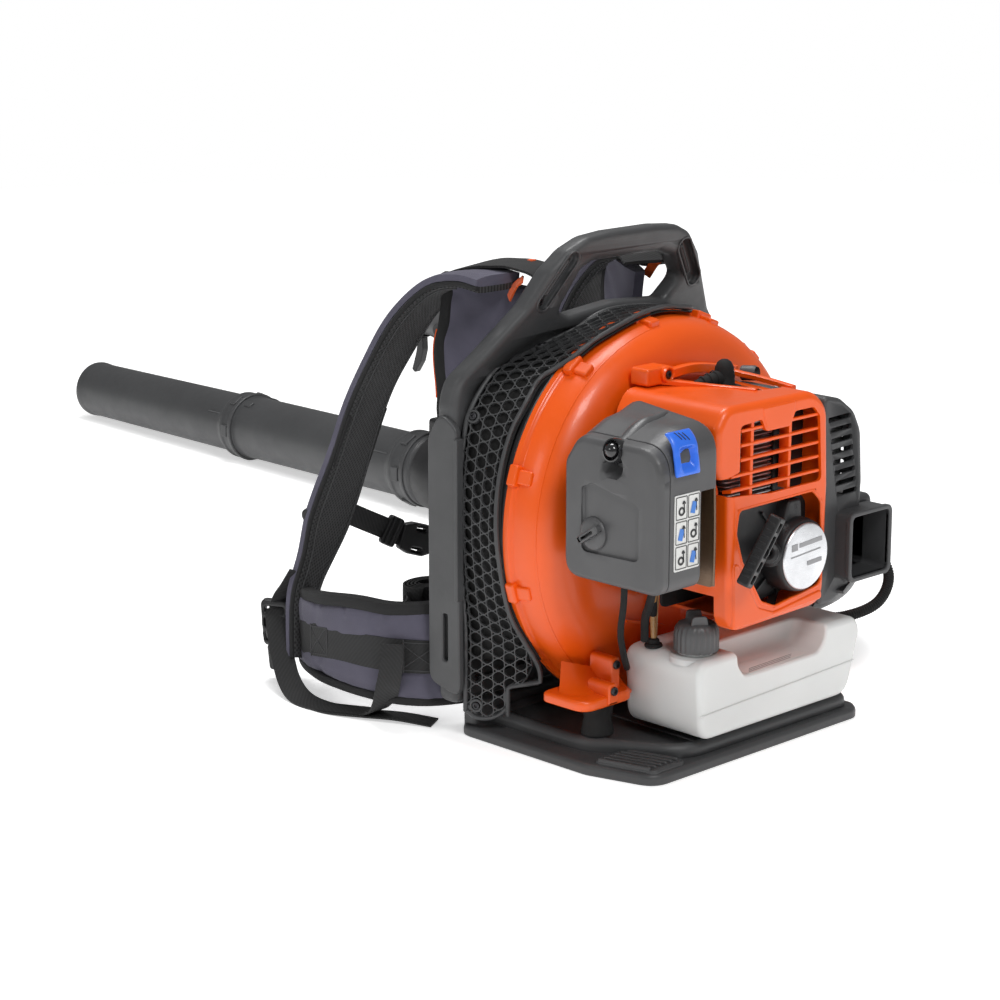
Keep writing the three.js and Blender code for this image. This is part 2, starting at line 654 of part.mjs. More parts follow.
function controlHandle() {
  const c = onTubePoint(409, 0, 0);
  const foot = c.clone().add(v(0, 0, CONTROL_R + 13));
  const grip = sweep([foot.clone().add(v(0, 0, 6)), v(c.x, c.y + 6, 150), v(c.x, c.y + 22, 205), v(c.x, c.y + 34, 248)], 17, 12, 6);
  const head = rod(v(c.x, c.y - 34, 256), v(c.x, c.y + 88, 262), 19, 18);
  const base = block(c.x - 16, c.x + 16, c.y - 20, c.y + 22, foot.z - 0.2, foot.z + 12);
  const well = block(c.x - 6, c.x + 6, c.y + 20, c.y + 58, 180, 252);
  const button = turnedAt([[0, -8], [7.5, -8], [7.5, 20], [0, 20]], v(c.x, c.y + 20, 278.5), v(0, 0, 1), 18);
  return cut(join(grip, head, base), well, button);
}

function throttleTrigger() {
  const c = onTubePoint(409, 0, 0);
  return alongX(outline([[c.y + 44, 240], [c.y + 52, 240], [c.y + 58, 215], [c.y + 66, 192], [c.y + 60, 188], [c.y + 48, 205], [c.y + 43, 222]], 2), c.x - 5.4, c.x + 5.4, 1);
}

function cruiseLever() {
  const c = onTubePoint(409, 0, 0);
  const disc = turnedAt([[0, 0], [9, 0], [9, 5], [0, 5]], v(c.x - 19.3, c.y - 6, 258), v(-1, 0, 0), 18);
  return join(disc, block(c.x - 24, c.x - 19.6, c.y - 30, c.y - 6, 255, 263));
}

function stopSwitch() {
  const c = onTubePoint(409, 0, 0);
  return turnedAt([[0, 0], [7, 0], [7, 4], [5, 6], [0, 6]], v(c.x, c.y + 20, 276), v(0, 0, 1), 18);
}

// ---- conduits ----
function conduitRear() {
  return sweep([
    v(196, -36, 84), v(232, -60, 82), v(275, -72, 92), v(306, -62, 116), v(310, -34, 144), v(306, 10, 168),
    v(318, 60, 172), v(350, 110, 160), v(372, 150, 150),
  ], 5.5, 8, 24);
}

function conduitFront() {
  const c = onTubePoint(409, 0, 0);
  return sweep([
    v(456, 436, 118), v(460, 520, 116), v(464, 640, 112), v(468, 740, 112), v(c.x, c.y - 36, 130),
  ], 5.5, 8, 14);
}

// ---- harness ----
function backPad() {
  return alongY(outline([[-92, 120], [116, 120], [112, 400], [70, 418], [-46, 418], [-88, 400]], 30), 147, 168, 6);
}

// Shoulder strap centreline in Y and Z, from the top of the frame down to the belt.
const STRAP = [
  [112, 440], [140, 458], [180, 460], [220, 440], [262, 395], [312, 318], [352, 240], [384, 165], [408, 90], [418, 30],
];

function shoulderStrap(x0, x1, points) {
  return band(points, x0, x1, 14);
}

function beltWing(side) {
  const x = side < 0 ? -205 : 229;
  const s = -side;
  const path = [[x, 158], [x - 2 * s, 220], [x + 2 * s, 290], [x + 18 * s, 350], [x + 44 * s, 392]];
  const outer = path.map(([a, b]) => [a, b]);
  const inner = path.map(([a, b], i) => [a + 16 * s, b - i * 2.5]).reverse();
  const plan = outline([...outer, ...inner]);
  const low = outline([[130, 20], [430, 4], [430, 125], [130, 140]], 6);
  return alongZ(plan, 14, 132, 3).intersect(alongX(low, -400, 400));
}

function sternumStrap() {
  const pts = [[-118, 362, 186], [-80, 352, 166], [-40, 340, 146], [12, 330, 134], [64, 320, 142], [104, 312, 160], [142, 306, 182]];
  const path = new THREE.CatmullRomCurve3(pts.map((p) => v(...p)), false, "centripetal");
  const section = outline([[-1.2, -12], [1.2, -12], [1.2, 12], [-1.2, 12]]);
  const g = new THREE.ExtrudeGeometry(section, { steps: 24, bevelEnabled: false, extrudePath: path });
  return solid(g);
}

function sternumBuckle() {
  return alongY(outline([[-52, 124], [-16, 112], [-10, 138], [-46, 150]], 4), 317, 328, 2);
}

function beltBuckle() {
  return alongX(outline([[402, 52], [428, 46], [434, 96], [408, 102]], 5), -168, -156, 2);
}

add("base_tray", baseTray(), "darkGrey");
add("back_frame", backFrame(), "darkGrey");
add("intake_screen", intakeScreen(), "black");
add("fan_housing_rear", fanHousingRear(), "black");
add("fan_housing_front", fanHousingFront(), "orange");
add("impeller", impeller(), "black");
add("crankshaft", crankshaft(), "steel");
add("flywheel", flywheel(), "alloy");
add("crankcase", crankcase(), "alloy");
add("engine_cylinder", cylinder(), "alloy");
add("spark_plug", sparkPlug(), "porcelain");
add("spark_plug_boot", sparkPlugBoot(), "rubber");
add("ignition_coil", ignitionCoil(), "black");
add("carburettor", carburettor(), "alloy");
add("muffler", muffler(), "steel");
add("muffler_cover", mufflerCover(), "darkGrey");
add("heat_shield", heatShield(), "shield");
add("engine_cover", engineCover(), "orange");
add("starter_housing", starterHousing(), "black");
add("starter_pulley", starterPulley(), "black");
add("starter_post", starterPost(), "steel");
add("starter_label", starterLabel(), "silver");
add("starter_rope", starterRope(), "mesh");
add("starter_handle", starterHandle(), "black");
add("air_filter_base", filterBase(), "midGrey");
add("air_filter_element", filterElement(), "paper");
add("air_filter_cover", filterCover(), "darkGrey");
add("cover_knob", coverKnob(), "black");
add("choke_lever", chokeLever(), "blue");
add("purge_bulb", purgeBulb(), "rubber");
add("fuel_tank", fuelTank(), "milky");
add("fuel_cap", fuelCap(), "darkGrey");
add("tank_grommet", tankGrommet(), "rubber");
add("fuel_line", fuelLine(), "amber");
add("damper_left", damper(-126, -30, 33), "rubber");
add("damper_right", damper(95, 12, 18), "rubber");
add("elbow", elbow(), "black");
add("hose_rear", hoseRear(), "rubber");
add("hose_mid", hoseMid(), "rubber");
add("hose_front", hoseFront(), "rubber");
add("control_tube", controlTube(), "darkGrey");
add("intermediate_tube", middleTube(), "darkGrey");
add("nozzle_tube", nozzleTube(), "darkGrey");
add("handle_clamp", handleClamp(), "black");
add("control_handle", controlHandle(), "midGrey");
add("throttle_trigger", throttleTrigger(), "black");
add("cruise_lever", cruiseLever(), "black");
add("stop_switch", stopSwitch(), "red");
add("conduit_rear", conduitRear(), "black");
add("conduit_front", conduitFront(), "black");
add("back_pad", backPad(), "fabric");
add("strap_left", shoulderStrap(-150, -88, STRAP), "mesh");
add("strap_right", shoulderStrap(112, 174, STRAP.map(([y, z], i) => [y - i * 6, z])), "mesh");
add("belt_left", beltWing(-1), "fabric");
add("belt_right", beltWing(1), "fabric");
add("sternum_strap", sternumStrap(), "mesh");
add("sternum_buckle", sternumBuckle(), "black");
add("belt_buckle", beltBuckle(), "black");

export default object;
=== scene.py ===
import json
import math
import bpy
import bmesh
from mathutils import Matrix, Quaternion, Vector


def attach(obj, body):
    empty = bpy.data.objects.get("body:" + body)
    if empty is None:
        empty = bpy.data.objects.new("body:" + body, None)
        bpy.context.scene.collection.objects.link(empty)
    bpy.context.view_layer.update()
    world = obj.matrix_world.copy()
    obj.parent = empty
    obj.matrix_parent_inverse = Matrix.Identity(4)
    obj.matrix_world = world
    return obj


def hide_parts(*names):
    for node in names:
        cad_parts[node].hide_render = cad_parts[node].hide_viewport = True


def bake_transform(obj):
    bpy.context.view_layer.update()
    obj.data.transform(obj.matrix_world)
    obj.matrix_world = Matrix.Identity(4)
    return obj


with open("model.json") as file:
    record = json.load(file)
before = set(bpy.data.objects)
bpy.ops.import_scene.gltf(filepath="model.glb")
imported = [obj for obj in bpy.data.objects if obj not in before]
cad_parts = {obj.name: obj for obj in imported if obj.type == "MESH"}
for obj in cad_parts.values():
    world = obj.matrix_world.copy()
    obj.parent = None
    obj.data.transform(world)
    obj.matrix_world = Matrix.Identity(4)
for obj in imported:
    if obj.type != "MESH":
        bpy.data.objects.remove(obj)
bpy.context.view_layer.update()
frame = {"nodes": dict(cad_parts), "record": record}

MM = 0.001


# ---------------------------------------------------------------- mesh tools
def make(name, verts, faces, mat=None, angle=35, uv=None):
    """A mesh object in the row frame from corners in millimetres, smooth but for edges sharper than angle."""
    me = bpy.data.meshes.new(name)
    me.from_pydata([tuple(c * MM for c in v) for v in verts], [], faces)
    if uv:
        layer = me.uv_layers.new(name="metres")
        for loop in me.loops:
            u, w = uv[loop.vertex_index]
            layer.data[loop.index].uv = (u * MM, w * MM)
    me.validate()
    ob = bpy.data.objects.new(name, me)
    bpy.context.scene.collection.objects.link(ob)
    tidy(ob, angle)
    if mat:
        me.materials.append(mat)
    return ob


def tidy(ob, angle=35):
    bm = bmesh.new()
    bm.from_mesh(ob.data)
    bmesh.ops.recalc_face_normals(bm, faces=bm.faces)
    bm.to_mesh(ob.data)
    bm.free()
    smooth(ob, angle)


def smooth(ob, angle=35):
    ob.data.shade_smooth()
    ob.data.set_sharp_from_angle(angle=math.radians(angle))


def bake(ob, angle=None):
    """Applies every modifier, so that the mesh is final."""
    bpy.context.view_layer.update()
    deps = bpy.context.evaluated_depsgraph_get()
    me = bpy.data.meshes.new_from_object(ob.evaluated_get(deps))
    ob.modifiers.clear()
    ob.data = me
    if angle is not None:
        smooth(ob, angle)
    return ob


def bevel(ob, width, segments=3, angle=30, bake_now=True):
    m = ob.modifiers.new("bevel", "BEVEL")
    m.width = width * MM
    m.segments = segments
    m.limit_method = "ANGLE"
    m.angle_limit = math.radians(angle)
    m.harden_normals = False
    m.use_clamp_overlap = True
    if bake_now:
        bake(ob, 50)
    return ob


def boolean(ob, tool, operation="DIFFERENCE"):
    m = ob.modifiers.new("bool", "BOOLEAN")
    m.operation = operation
    m.solver = "EXACT"
    m.object = tool
    m.use_self = True
    bake(ob)
    bpy.data.objects.remove(tool)
    return ob


def cut(ob, *tools):
    for tool in tools:
        boolean(ob, tool)
    return ob


def join(name, parts, mat=None):
    """One object from several; each keeps its own materials unless mat is given, which then covers them all.
    """
    base = parts[0]
    with bpy.context.temp_override(active_object=base, selected_editable_objects=parts,
                                   selected_objects=parts, object=base):
        bpy.ops.object.join()
    base.name = name
    base.data.name = name
    if mat:
        base.data.materials.clear()
        base.data.materials.append(mat)
        for p in base.data.polygons:
            p.material_index = 0
    return base


def rounded(points, radius, n=5):
    """A closed outline with its corners turned; radius is one number or one per corner."""
    out = []
    count = len(points)
    for i, p in enumerate(points):
        r = radius[i] if isinstance(radius, (list, tuple)) else radius
        p = Vector(p)
        a = Vector(points[i - 1]) - p
        b = Vector(points[(i + 1) % count]) - p
        if r <= 0 or a.length < 1e-9 or b.length < 1e-9:
            out.append(tuple(p))
            continue
        half = a.angle(b) / 2
        if half > math.radians(88):
            out.append(tuple(p))
            continue
        back = min(r / math.tan(half), a.length * 0.48, b.length * 0.48)
        a0, b0 = p + a.normalized() * back, p + b.normalized() * back
        for k in range(n + 1):
            t = k / n
            q = a0 * (1 - t) ** 2 + p * (2 * t * (1 - t)) + b0 * t ** 2
            out.append((q.x, q.y))
    return out


PLACE = {
    "X": lambda p, h: (h, p[0], p[1]),
    "Y": lambda p, h: (p[0], h, p[1]),
    "Z": lambda p, h: (p[0], p[1], h),
}


def prism(name, outline, axis, lo, hi, mat=None, bev=0, seg=3, angle=35):
    """An outline carried along an axis from lo to hi, its rims turned by bev."""
    n = len(outline)
    verts = [PLACE[axis](p, lo) for p in outline] + [PLACE[axis](p, hi) for p in outline]
    faces = [tuple(range(n)), tuple(range(2 * n - 1, n - 1, -1))]
    faces += [(i, (i + 1) % n, n + (i + 1) % n, n + i) for i in range(n)]
    ob = make(name, verts, faces, mat, angle)
    if bev:
        bevel(ob, bev, seg, 40)
    return ob


def block(name, lo, hi, mat=None, bev=0, seg=3):
    (x0, y0, z0), (x1, y1, z1) = lo, hi
    return prism(name, [(x0, y0), (x1, y0), (x1, y1), (x0, y1)], "Z", z0, z1, mat, bev, seg)


def frame_of(direction):
    d = Vector(direction).normalized()
    side = d.orthogonal().normalized()
    return d, side, d.cross(side)


def lathe(name, profile, at, direction, seg=64, mat=None, angle=35, closed=False):
    """A turned piece: profile is [radius, height] pairs along direction from at."""
    d, s, t = frame_of(direction)
    at = Vector(at)
    verts, rings = [], []
    for r, h in profile:
        if r < 1e-7:
            rings.append([len(verts)])
            verts.append(at + d * h)
            continue
        rings.append(list(range(len(verts), len(verts) + seg)))
        for k in range(seg):
            a = 2 * math.pi * k / seg
            verts.append(at + d * h + (s * math.cos(a) + t * math.sin(a)) * r)
    faces = []
    pairs = list(zip(rings, rings[1:]))
    if closed:
        pairs.append((rings[-1], rings[0]))
    for a, b in pairs:
        for k in range(seg):
            m = (k + 1) % seg
            if len(a) == 1 and len(b) == 1:
                continue
            if len(a) == 1:
                faces.append((a[0], b[m], b[k]))
            elif len(b) == 1:
                faces.append((a[k], a[m], b[0]))
            else:
                faces.append((a[k], a[m], b[m], b[k]))
    return make(name, verts, faces, mat, angle)


def curve_points(points, n, closed=False):
    """n points along a centripetal-like Catmull-Rom curve through the given points, evenly spaced."""
    pts = [Vector(p) for p in points]
    dense = []
    count = len(pts)
    spans = count if closed else count - 1
    for i in range(spans):
        p1, p2 = pts[i], pts[(i + 1) % count]
        p0 = pts[i - 1] if (i > 0 or closed) else p1 * 2 - p2
        p3 = pts[(i + 2) % count] if (i + 2 < count or closed) else p2 * 2 - p1
        for k in range(24):
            t = k / 24
            dense.append(0.5 * ((2 * p1) + (p2 - p0) * t + (2 * p0 - 5 * p1 + 4 * p2 - p3) * t * t
                                + (3 * p1 - p0 - 3 * p2 + p3) * t ** 3))
    if not closed:
        dense.append(pts[-1])
    steps = [0.0]
    for a, b in zip(dense, dense[1:]):
        steps.append(steps[-1] + (b - a).length)
    total = steps[-1]
    out, j = [], 0
    for k in range(n):
        want = total * k / (n - 1)
        while j < len(steps) - 2 and steps[j + 1] < want:
            j += 1
        span = steps[j + 1] - steps[j] or 1
        out.append(dense[j].lerp(dense[j + 1], (want - steps[j]) / span))
    return out, total


def tangents(pts):
    out = []
    for i in range(len(pts)):
        a, b = pts[max(i - 1, 0)], pts[min(i + 1, len(pts) - 1)]
        out.append((b - a).normalized())
    return out


def tube(name, points, radius, n=60, seg=12, mat=None, caps=True, profile=None):
    """A round pipe or cord; radius is a number or a function of 0..1 along it."""
    pts, total = curve_points(points, n)
    tans = tangents(pts)
    side = tans[0].orthogonal().normalized()
    verts, faces, uv = [], [], []
    for i, (p, t) in enumerate(zip(pts, tans)):
        side = (side - t * side.dot(t)).normalized()
        up = t.cross(side)
        r = radius(i / (n - 1)) if callable(radius) else radius
        for k in range(seg):
            a = 2 * math.pi * k / seg
            verts.append(p + (side * math.cos(a) + up * math.sin(a)) * r)
            uv.append((k / seg * 2 * math.pi * r, total * i / (n - 1)))
    for i in range(n - 1):
        for k in range(seg):
            m = (k + 1) % seg
            faces.append((i * seg + k, i * seg + m, (i + 1) * seg + m, (i + 1) * seg + k))
    if caps:
        faces.append(tuple(range(seg)))
        faces.append(tuple(range(n * seg - 1, (n - 1) * seg - 1, -1)))
    return make(name, verts, faces, mat, 50, uv)


def strip(name, points, width, thick, across, n=80, mat=None, crown=0.0, cols=6, wave=0.0):
    """A flat band along points. across gives the width direction at 0..1 along it; width may vary too.
    crown swells the middle of both faces; wave adds slow ripples."""
    pts, total = curve_points(points, n)
    tans = tangents(pts)
    verts, faces, uv = [], [], []
    loop = 2 * (cols + 1)
    for i, (p, t) in enumerate(zip(pts, tans)):
        f = i / (n - 1)
        a = Vector(across(f) if callable(across) else across)
        a = (a - t * a.dot(t)).normalized()
        up = t.cross(a)
        w = width(f) if callable(width) else width
        h = thick(f) if callable(thick) else thick
        for side in (1, -1):
            for k in range(cols + 1):
                c = -0.5 + k / cols
                if side < 0:
                    c = -c
                swell = crown * (1 - (2 * c) ** 4)
                ripple = wave * math.sin(f * 23 + c * 3) * math.cos(c * 5 + f * 9)
                verts.append(p + a * (w * c) + up * (side * (h / 2 + swell) + ripple))
                uv.append((w * c + (0 if side > 0 else 0.5), total * f))
    for i in range(n - 1):
        for k in range(loop):
            m = (k + 1) % loop
            faces.append((i * loop + k, i * loop + m, (i + 1) * loop + m, (i + 1) * loop + k))
    for base, flip in ((0, False), ((n - 1) * loop, True)):
        for k in range(cols):
            q = (base + k, base + loop - 1 - k, base + loop - 2 - k, base + k + 1)
            faces.append(q if not flip else q[::-1])
    return make(name, verts, faces, mat, 50, uv)


def lerp(a, b, t):
    return a + (b - a) * t


# ---------------------------------------------------------------- materials
def nodes_of(name):
    mat = bpy.data.materials.new(name)
    mat.use_nodes = True
    nt = mat.node_tree
    return mat, nt, nt.nodes["Principled BSDF"]


def node(nt, kind, **sets):
    nd = nt.nodes.new(kind)
    for key, value in sets.items():
        if key in nd.inputs:
            nd.inputs[key].default_value = value
        else:
            setattr(nd, key, value)
    return nd


def ramp(nt, source, stops):
    r = nt.nodes.new("ShaderNodeValToRGB")
    els = r.color_ramp.elements
    els[0].position, els[0].color = stops[0][0], stops[0][1]
    els[1].position, els[1].color = stops[-1][0], stops[-1][1]
    for pos, col in stops[1:-1]:
        e = els.new(pos)
        e.color = col
    nt.links.new(source, r.inputs["Fac"])
    return r.outputs["Color"]


def grey(v):
    return (v, v, v, 1)


def rgba(c, k=1.0):
    return (c[0] * k, c[1] * k, c[2] * k, 1)


def moulded(name, colour, rough=0.5, grain=900, depth=0.00012, spread=0.12, coat=0.0, spec=0.5, vary=0.12):
    """Moulded plastic: fine spark-eroded grain, slow tone and gloss variation, faint rub marks."""
    mat, nt, bsdf = nodes_of(name)
    co = node(nt, "ShaderNodeTexCoord").outputs["Object"]
    slow = node(nt, "ShaderNodeTexNoise", Scale=9.0, Detail=4.0, Roughness=0.55)
    nt.links.new(co, slow.inputs["Vector"])
    col = ramp(nt, slow.outputs["Fac"], [(0.3, rgba(colour, 1 - vary)), (0.55, rgba(colour)),
            (0.75, rgba(colour, 1 + vary))])
    nt.links.new(col, bsdf.inputs["Base Color"])
    rub = node(nt, "ShaderNodeTexNoise", Scale=38.0, Detail=6.0, Roughness=0.7)
    nt.links.new(co, rub.inputs["Vector"])
    rr = ramp(nt, rub.outputs["Fac"], [(0.25, grey(max(rough - spread, 0.05))),
            (0.75, grey(min(rough + spread, 1)))])
    nt.links.new(rr, bsdf.inputs["Roughness"])
    fine = node(nt, "ShaderNodeTexNoise", Scale=float(grain), Detail=3.0, Roughness=0.6)
    nt.links.new(co, fine.inputs["Vector"])
    bump = node(nt, "ShaderNodeBump", Strength=0.55, Distance=depth)
    nt.links.new(fine.outputs["Fac"], bump.inputs["Height"])
    nt.links.new(bump.outputs["Normal"], bsdf.inputs["Normal"])
    bsdf.inputs["Coat Weight"].default_value = coat
    bsdf.inputs["Specular IOR Level"].default_value = spec
    return mat


def metal(name, colour, rough=0.35, stretch=(1, 1, 40), scale=60):
    mat, nt, bsdf = nodes_of(name)
    co = node(nt, "ShaderNodeTexCoord").outputs["Object"]
    mp = node(nt, "ShaderNodeMapping")
    mp.inputs["Scale"].default_value = stretch
    nt.links.new(co, mp.inputs["Vector"])
    n1 = node(nt, "ShaderNodeTexNoise", Scale=float(scale), Detail=5.0, Roughness=0.6)
    nt.links.new(mp.outputs["Vector"], n1.inputs["Vector"])
    n2 = node(nt, "ShaderNodeTexNoise", Scale=14.0, Detail=5.0, Roughness=0.6)
    nt.links.new(co, n2.inputs["Vector"])
    nt.links.new(ramp(nt, n2.outputs["Fac"], [(0.3, rgba(colour, 0.75)), (0.7, rgba(colour, 1.15))]),
            bsdf.inputs["Base Color"])
    nt.links.new(ramp(nt, n1.outputs["Fac"], [(0.3, grey(rough * 0.7)), (0.7, grey(min(rough * 1.4, 1)))]),
            bsdf.inputs["Roughness"])
    bump = node(nt, "ShaderNodeBump", Strength=0.3, Distance=0.0001)
    nt.links.new(n1.outputs["Fac"], bump.inputs["Height"])
    nt.links.new(bump.outputs["Normal"], bsdf.inputs["Normal"])
    bsdf.inputs["Metallic"].default_value = 1.0
    return mat


def woven(name, colour, pitch=0.0009, rough=0.85, sheen=0.25, depth=0.0003, use_uv=False, contrast=0.25,
        slub=0.1):
    """Plain-woven cloth: crossing threads, tone drift and a light nap."""
    mat, nt, bsdf = nodes_of(name)
    tc = node(nt, "ShaderNodeTexCoord")
    co = tc.outputs["UV"] if use_uv else tc.outputs["Object"]
    turns = []
    axes = ("X", "Y") if use_uv else ("Y", "Z")
    for ax in axes:
        w = node(nt, "ShaderNodeTexWave", Scale=1 / pitch / 6.2832 * 2, Distortion=0.6, Detail=1.0)
        w.bands_direction = ax
        w.inputs["Detail Scale"].default_value = 2.0
        nt.links.new(co, w.inputs["Vector"])
        turns.append(w.outputs["Fac"])
    mix = node(nt, "ShaderNodeMath", operation="MULTIPLY")
    nt.links.new(turns[0], mix.inputs[0])
    nt.links.new(turns[1], mix.inputs[1])
    slow = node(nt, "ShaderNodeTexNoise", Scale=16.0, Detail=5.0, Roughness=0.6)
    nt.links.new(tc.outputs["Object"], slow.inputs["Vector"])
    add = node(nt, "ShaderNodeMath", operation="MULTIPLY_ADD")
    nt.links.new(mix.outputs[0], add.inputs[0])
    add.inputs[1].default_value = contrast
    nt.links.new(slow.outputs["Fac"], add.inputs[2])
    col = ramp(nt, add.outputs[0], [(0.3, rgba(colour, 1 - slub * 2)), (0.62, rgba(colour)),
            (0.95, rgba(colour, 1 + slub * 2.5))])
    nt.links.new(col, bsdf.inputs["Base Color"])
    bump = node(nt, "ShaderNodeBump", Strength=0.5, Distance=depth)
    nt.links.new(mix.outputs[0], bump.inputs["Height"])
    nt.links.new(bump.outputs["Normal"], bsdf.inputs["Normal"])
    bsdf.inputs["Roughness"].default_value = rough
    bsdf.inputs["Sheen Weight"].default_value = sheen
    bsdf.inputs["Sheen Roughness"].default_value = 0.4
    return mat


def spacer_mesh(name, colour, hole_shade, pitch=0.0032):
    """Knitted spacer mesh: rows of small holes set half a pitch off, in metres of UV; the holes are painted
    near-black as shade.
    """
    mat, nt, bsdf = nodes_of(name)
    tc = node(nt, "ShaderNodeTexCoord")
    mp = node(nt, "ShaderNodeMapping")
    mp.inputs["Rotation"].default_value = (0, 0, math.radians(45))
    mp.inputs["Scale"].default_value = (1 / pitch, 0.8 / pitch, 0)
    nt.links.new(tc.outputs["UV"], mp.inputs["Vector"])
    vor = node(nt, "ShaderNodeTexVoronoi", Scale=1.0, Randomness=0.12)
    nt.links.new(mp.outputs["Vector"], vor.inputs["Vector"])
    noise = node(nt, "ShaderNodeTexNoise", Scale=30.0, Detail=4.0)
    nt.links.new(tc.outputs["Object"], noise.inputs["Vector"])
    # the holes are painted near-black as shade; the colour rises towards the rims between them
    col = ramp(nt, vor.outputs["Distance"], [(0.18, rgba(hole_shade)), (0.34, rgba(colour)),
            (0.7, rgba(colour, 1.7))])
    nt.links.new(col, bsdf.inputs["Base Color"])
    bump = node(nt, "ShaderNodeBump", Strength=0.9, Distance=0.0006)
    nt.links.new(vor.outputs["Distance"], bump.inputs["Height"])
    nt.links.new(bump.outputs["Normal"], bsdf.inputs["Normal"])
    bsdf.inputs["Roughness"].default_value = 0.9
    bsdf.inputs["Sheen Weight"].default_value = 0.08
    return mat


def webbing_mat(name, colour):
    """Flat nylon webbing: fine cross ribs and a chevron."""
    mat, nt, bsdf = nodes_of(name)
    tc = node(nt, "ShaderNodeTexCoord")
    w1 = node(nt, "ShaderNodeTexWave", Scale=260.0, Distortion=0.3)
    w1.bands_direction = "Y"
    w2 = node(nt, "ShaderNodeTexWave", Scale=120.0, Distortion=0.2)
    w2.bands_direction = "DIAGONAL"
    for w in (w1, w2):
        nt.links.new(tc.outputs["UV"], w.inputs["Vector"])
    mul = node(nt, "ShaderNodeMath", operation="MULTIPLY")
    nt.links.new(w1.outputs["Fac"], mul.inputs[0])
    nt.links.new(w2.outputs["Fac"], mul.inputs[1])
    col = ramp(nt, mul.outputs[0], [(0.1, rgba(colour, 0.7)), (0.9, rgba(colour, 1.8))])
    nt.links.new(col, bsdf.inputs["Base Color"])
    bump = node(nt, "ShaderNodeBump", Strength=0.6, Distance=0.0003)
    nt.links.new(mul.outputs[0], bump.inputs["Height"])
    nt.links.new(bump.outputs["Normal"], bsdf.inputs["Normal"])
    bsdf.inputs["Roughness"].default_value = 0.72
    bsdf.inputs["Sheen Weight"].default_value = 0.03
    return mat


def milky(name):
    mat, nt, bsdf = nodes_of(name)
    co = node(nt, "ShaderNodeTexCoord").outputs["Object"]
    slow = node(nt, "ShaderNodeTexNoise", Scale=7.0, Detail=3.0)
    nt.links.new(co, slow.inputs["Vector"])
    nt.links.new(ramp(nt, slow.outputs["Fac"], [(0.3, (0.66, 0.67, 0.66, 1)),
            (0.7, (0.74, 0.75, 0.74, 1))]), bsdf.inputs["Base Color"])
    fine = node(nt, "ShaderNodeTexNoise", Scale=500.0, Detail=3.0)
    nt.links.new(co, fine.inputs["Vector"])
    bump = node(nt, "ShaderNodeBump", Strength=0.3, Distance=0.0001)
    nt.links.new(fine.outputs["Fac"], bump.inputs["Height"])
    nt.links.new(bump.outputs["Normal"], bsdf.inputs["Normal"])
    bsdf.inputs["Roughness"].default_value = 0.42
    bsdf.inputs["Subsurface Weight"].default_value = 0.35
    bsdf.inputs["Subsurface Radius"].default_value = (1.0, 1.0, 0.95)
    bsdf.inputs["Subsurface Scale"].default_value = 0.012
    return mat


ORANGE = (0.84, 0.098, 0.001)
DARK = (0.053, 0.054, 0.056)
MID = (0.076, 0.076, 0.078)
BLACK = (0.012, 0.012, 0.013)

M = {
    "orange_plastic": moulded("orange_plastic", ORANGE, 0.36, 700, 0.00006, 0.08, coat=0.12, vary=0.05),
    "dark_plastic": moulded("dark_plastic", DARK, 0.46, 900, 0.00014, 0.1),
    "mid_plastic": moulded("mid_plastic", MID, 0.42, 900, 0.0001, 0.1),
    "black_plastic": moulded("black_plastic", BLACK, 0.45, 900, 0.00012, 0.1),
    "screen_plastic": moulded("screen_plastic", (0.05, 0.051, 0.053), 0.5, 900, 0.00012, 0.1),
    "rubber": moulded("rubber", (0.011, 0.011, 0.011), 0.75, 500, 0.0002, 0.1, spec=0.35),
    "blue_plastic": moulded("blue_plastic", (0.03, 0.16, 0.78), 0.34, 800, 0.00006, 0.06, coat=0.1,
            vary=0.05),
    "tank_plastic": milky("tank_plastic"),
    "steel": metal("steel", (0.45, 0.45, 0.46), 0.35),
    "alloy": metal("alloy", (0.62, 0.62, 0.63), 0.42, (1, 1, 1), 120),
    "shield": metal("shield", (0.2, 0.14, 0.1), 0.45),
    "fabric": woven("fabric", (0.088, 0.083, 0.118), sheen=0.12, contrast=0.2),
    "mesh_fabric": spacer_mesh("mesh_fabric", (0.024, 0.024, 0.025), (0.002, 0.002, 0.002)),
    "webbing": webbing_mat("webbing", (0.009, 0.009, 0.0095)),
    "fuel_hose": moulded("fuel_hose", (0.42, 0.23, 0.09), 0.25, 300, 0.00005, 0.08, coat=0.4),
    "label_foil": metal("label_foil", (0.72, 0.73, 0.75), 0.3, (1, 1, 60), 50),
    "filter_paper": woven("filter_paper", (0.65, 0.56, 0.36), pitch=0.003),
    "porcelain": moulded("porcelain", (0.85, 0.85, 0.82), 0.2, 500, 0.00003, 0.05, coat=0.5),
    "red_plastic": moulded("red_plastic", (0.6, 0.03, 0.01), 0.35, 700, 0.00006, 0.06),
    "orange_cloth": woven("orange_cloth", (0.9, 0.12, 0.01), contrast=0.3),
    "print_white": moulded("print_white", (0.72, 0.72, 0.7), 0.4, 900, 0.00004, 0.05),
    "print_dark": moulded("print_dark", (0.02, 0.02, 0.022), 0.45, 900, 0.00004, 0.05),
    "print_blue": moulded("print_blue", (0.05, 0.2, 0.62), 0.4, 900, 0.00004, 0.05),
    "print_grey": moulded("print_grey", (0.3, 0.3, 0.31), 0.4, 900, 0.00004, 0.05),
    "binding": woven("binding", (0.009, 0.009, 0.0095), pitch=0.0012, sheen=0.04, contrast=0.35),
    "thread": moulded("thread", (0.05, 0.05, 0.052), 0.8, 1500, 0.0002, 0.1),
    # painted shade: a near-black finish for sheets set in openings and gaps where only shade falls
    "painted_shade": moulded("painted_shade", (0.006, 0.006, 0.006), 0.8, 300, 0.0002, 0.1),
}

SLOT_OF = {s["node"]: s["material_slot"] for s in frame["record"]["subparts"]}
for cad_name, cad in frame["nodes"].items():
    cad.data.materials.clear()
    cad.data.materials.append(M[SLOT_OF[cad_name]])


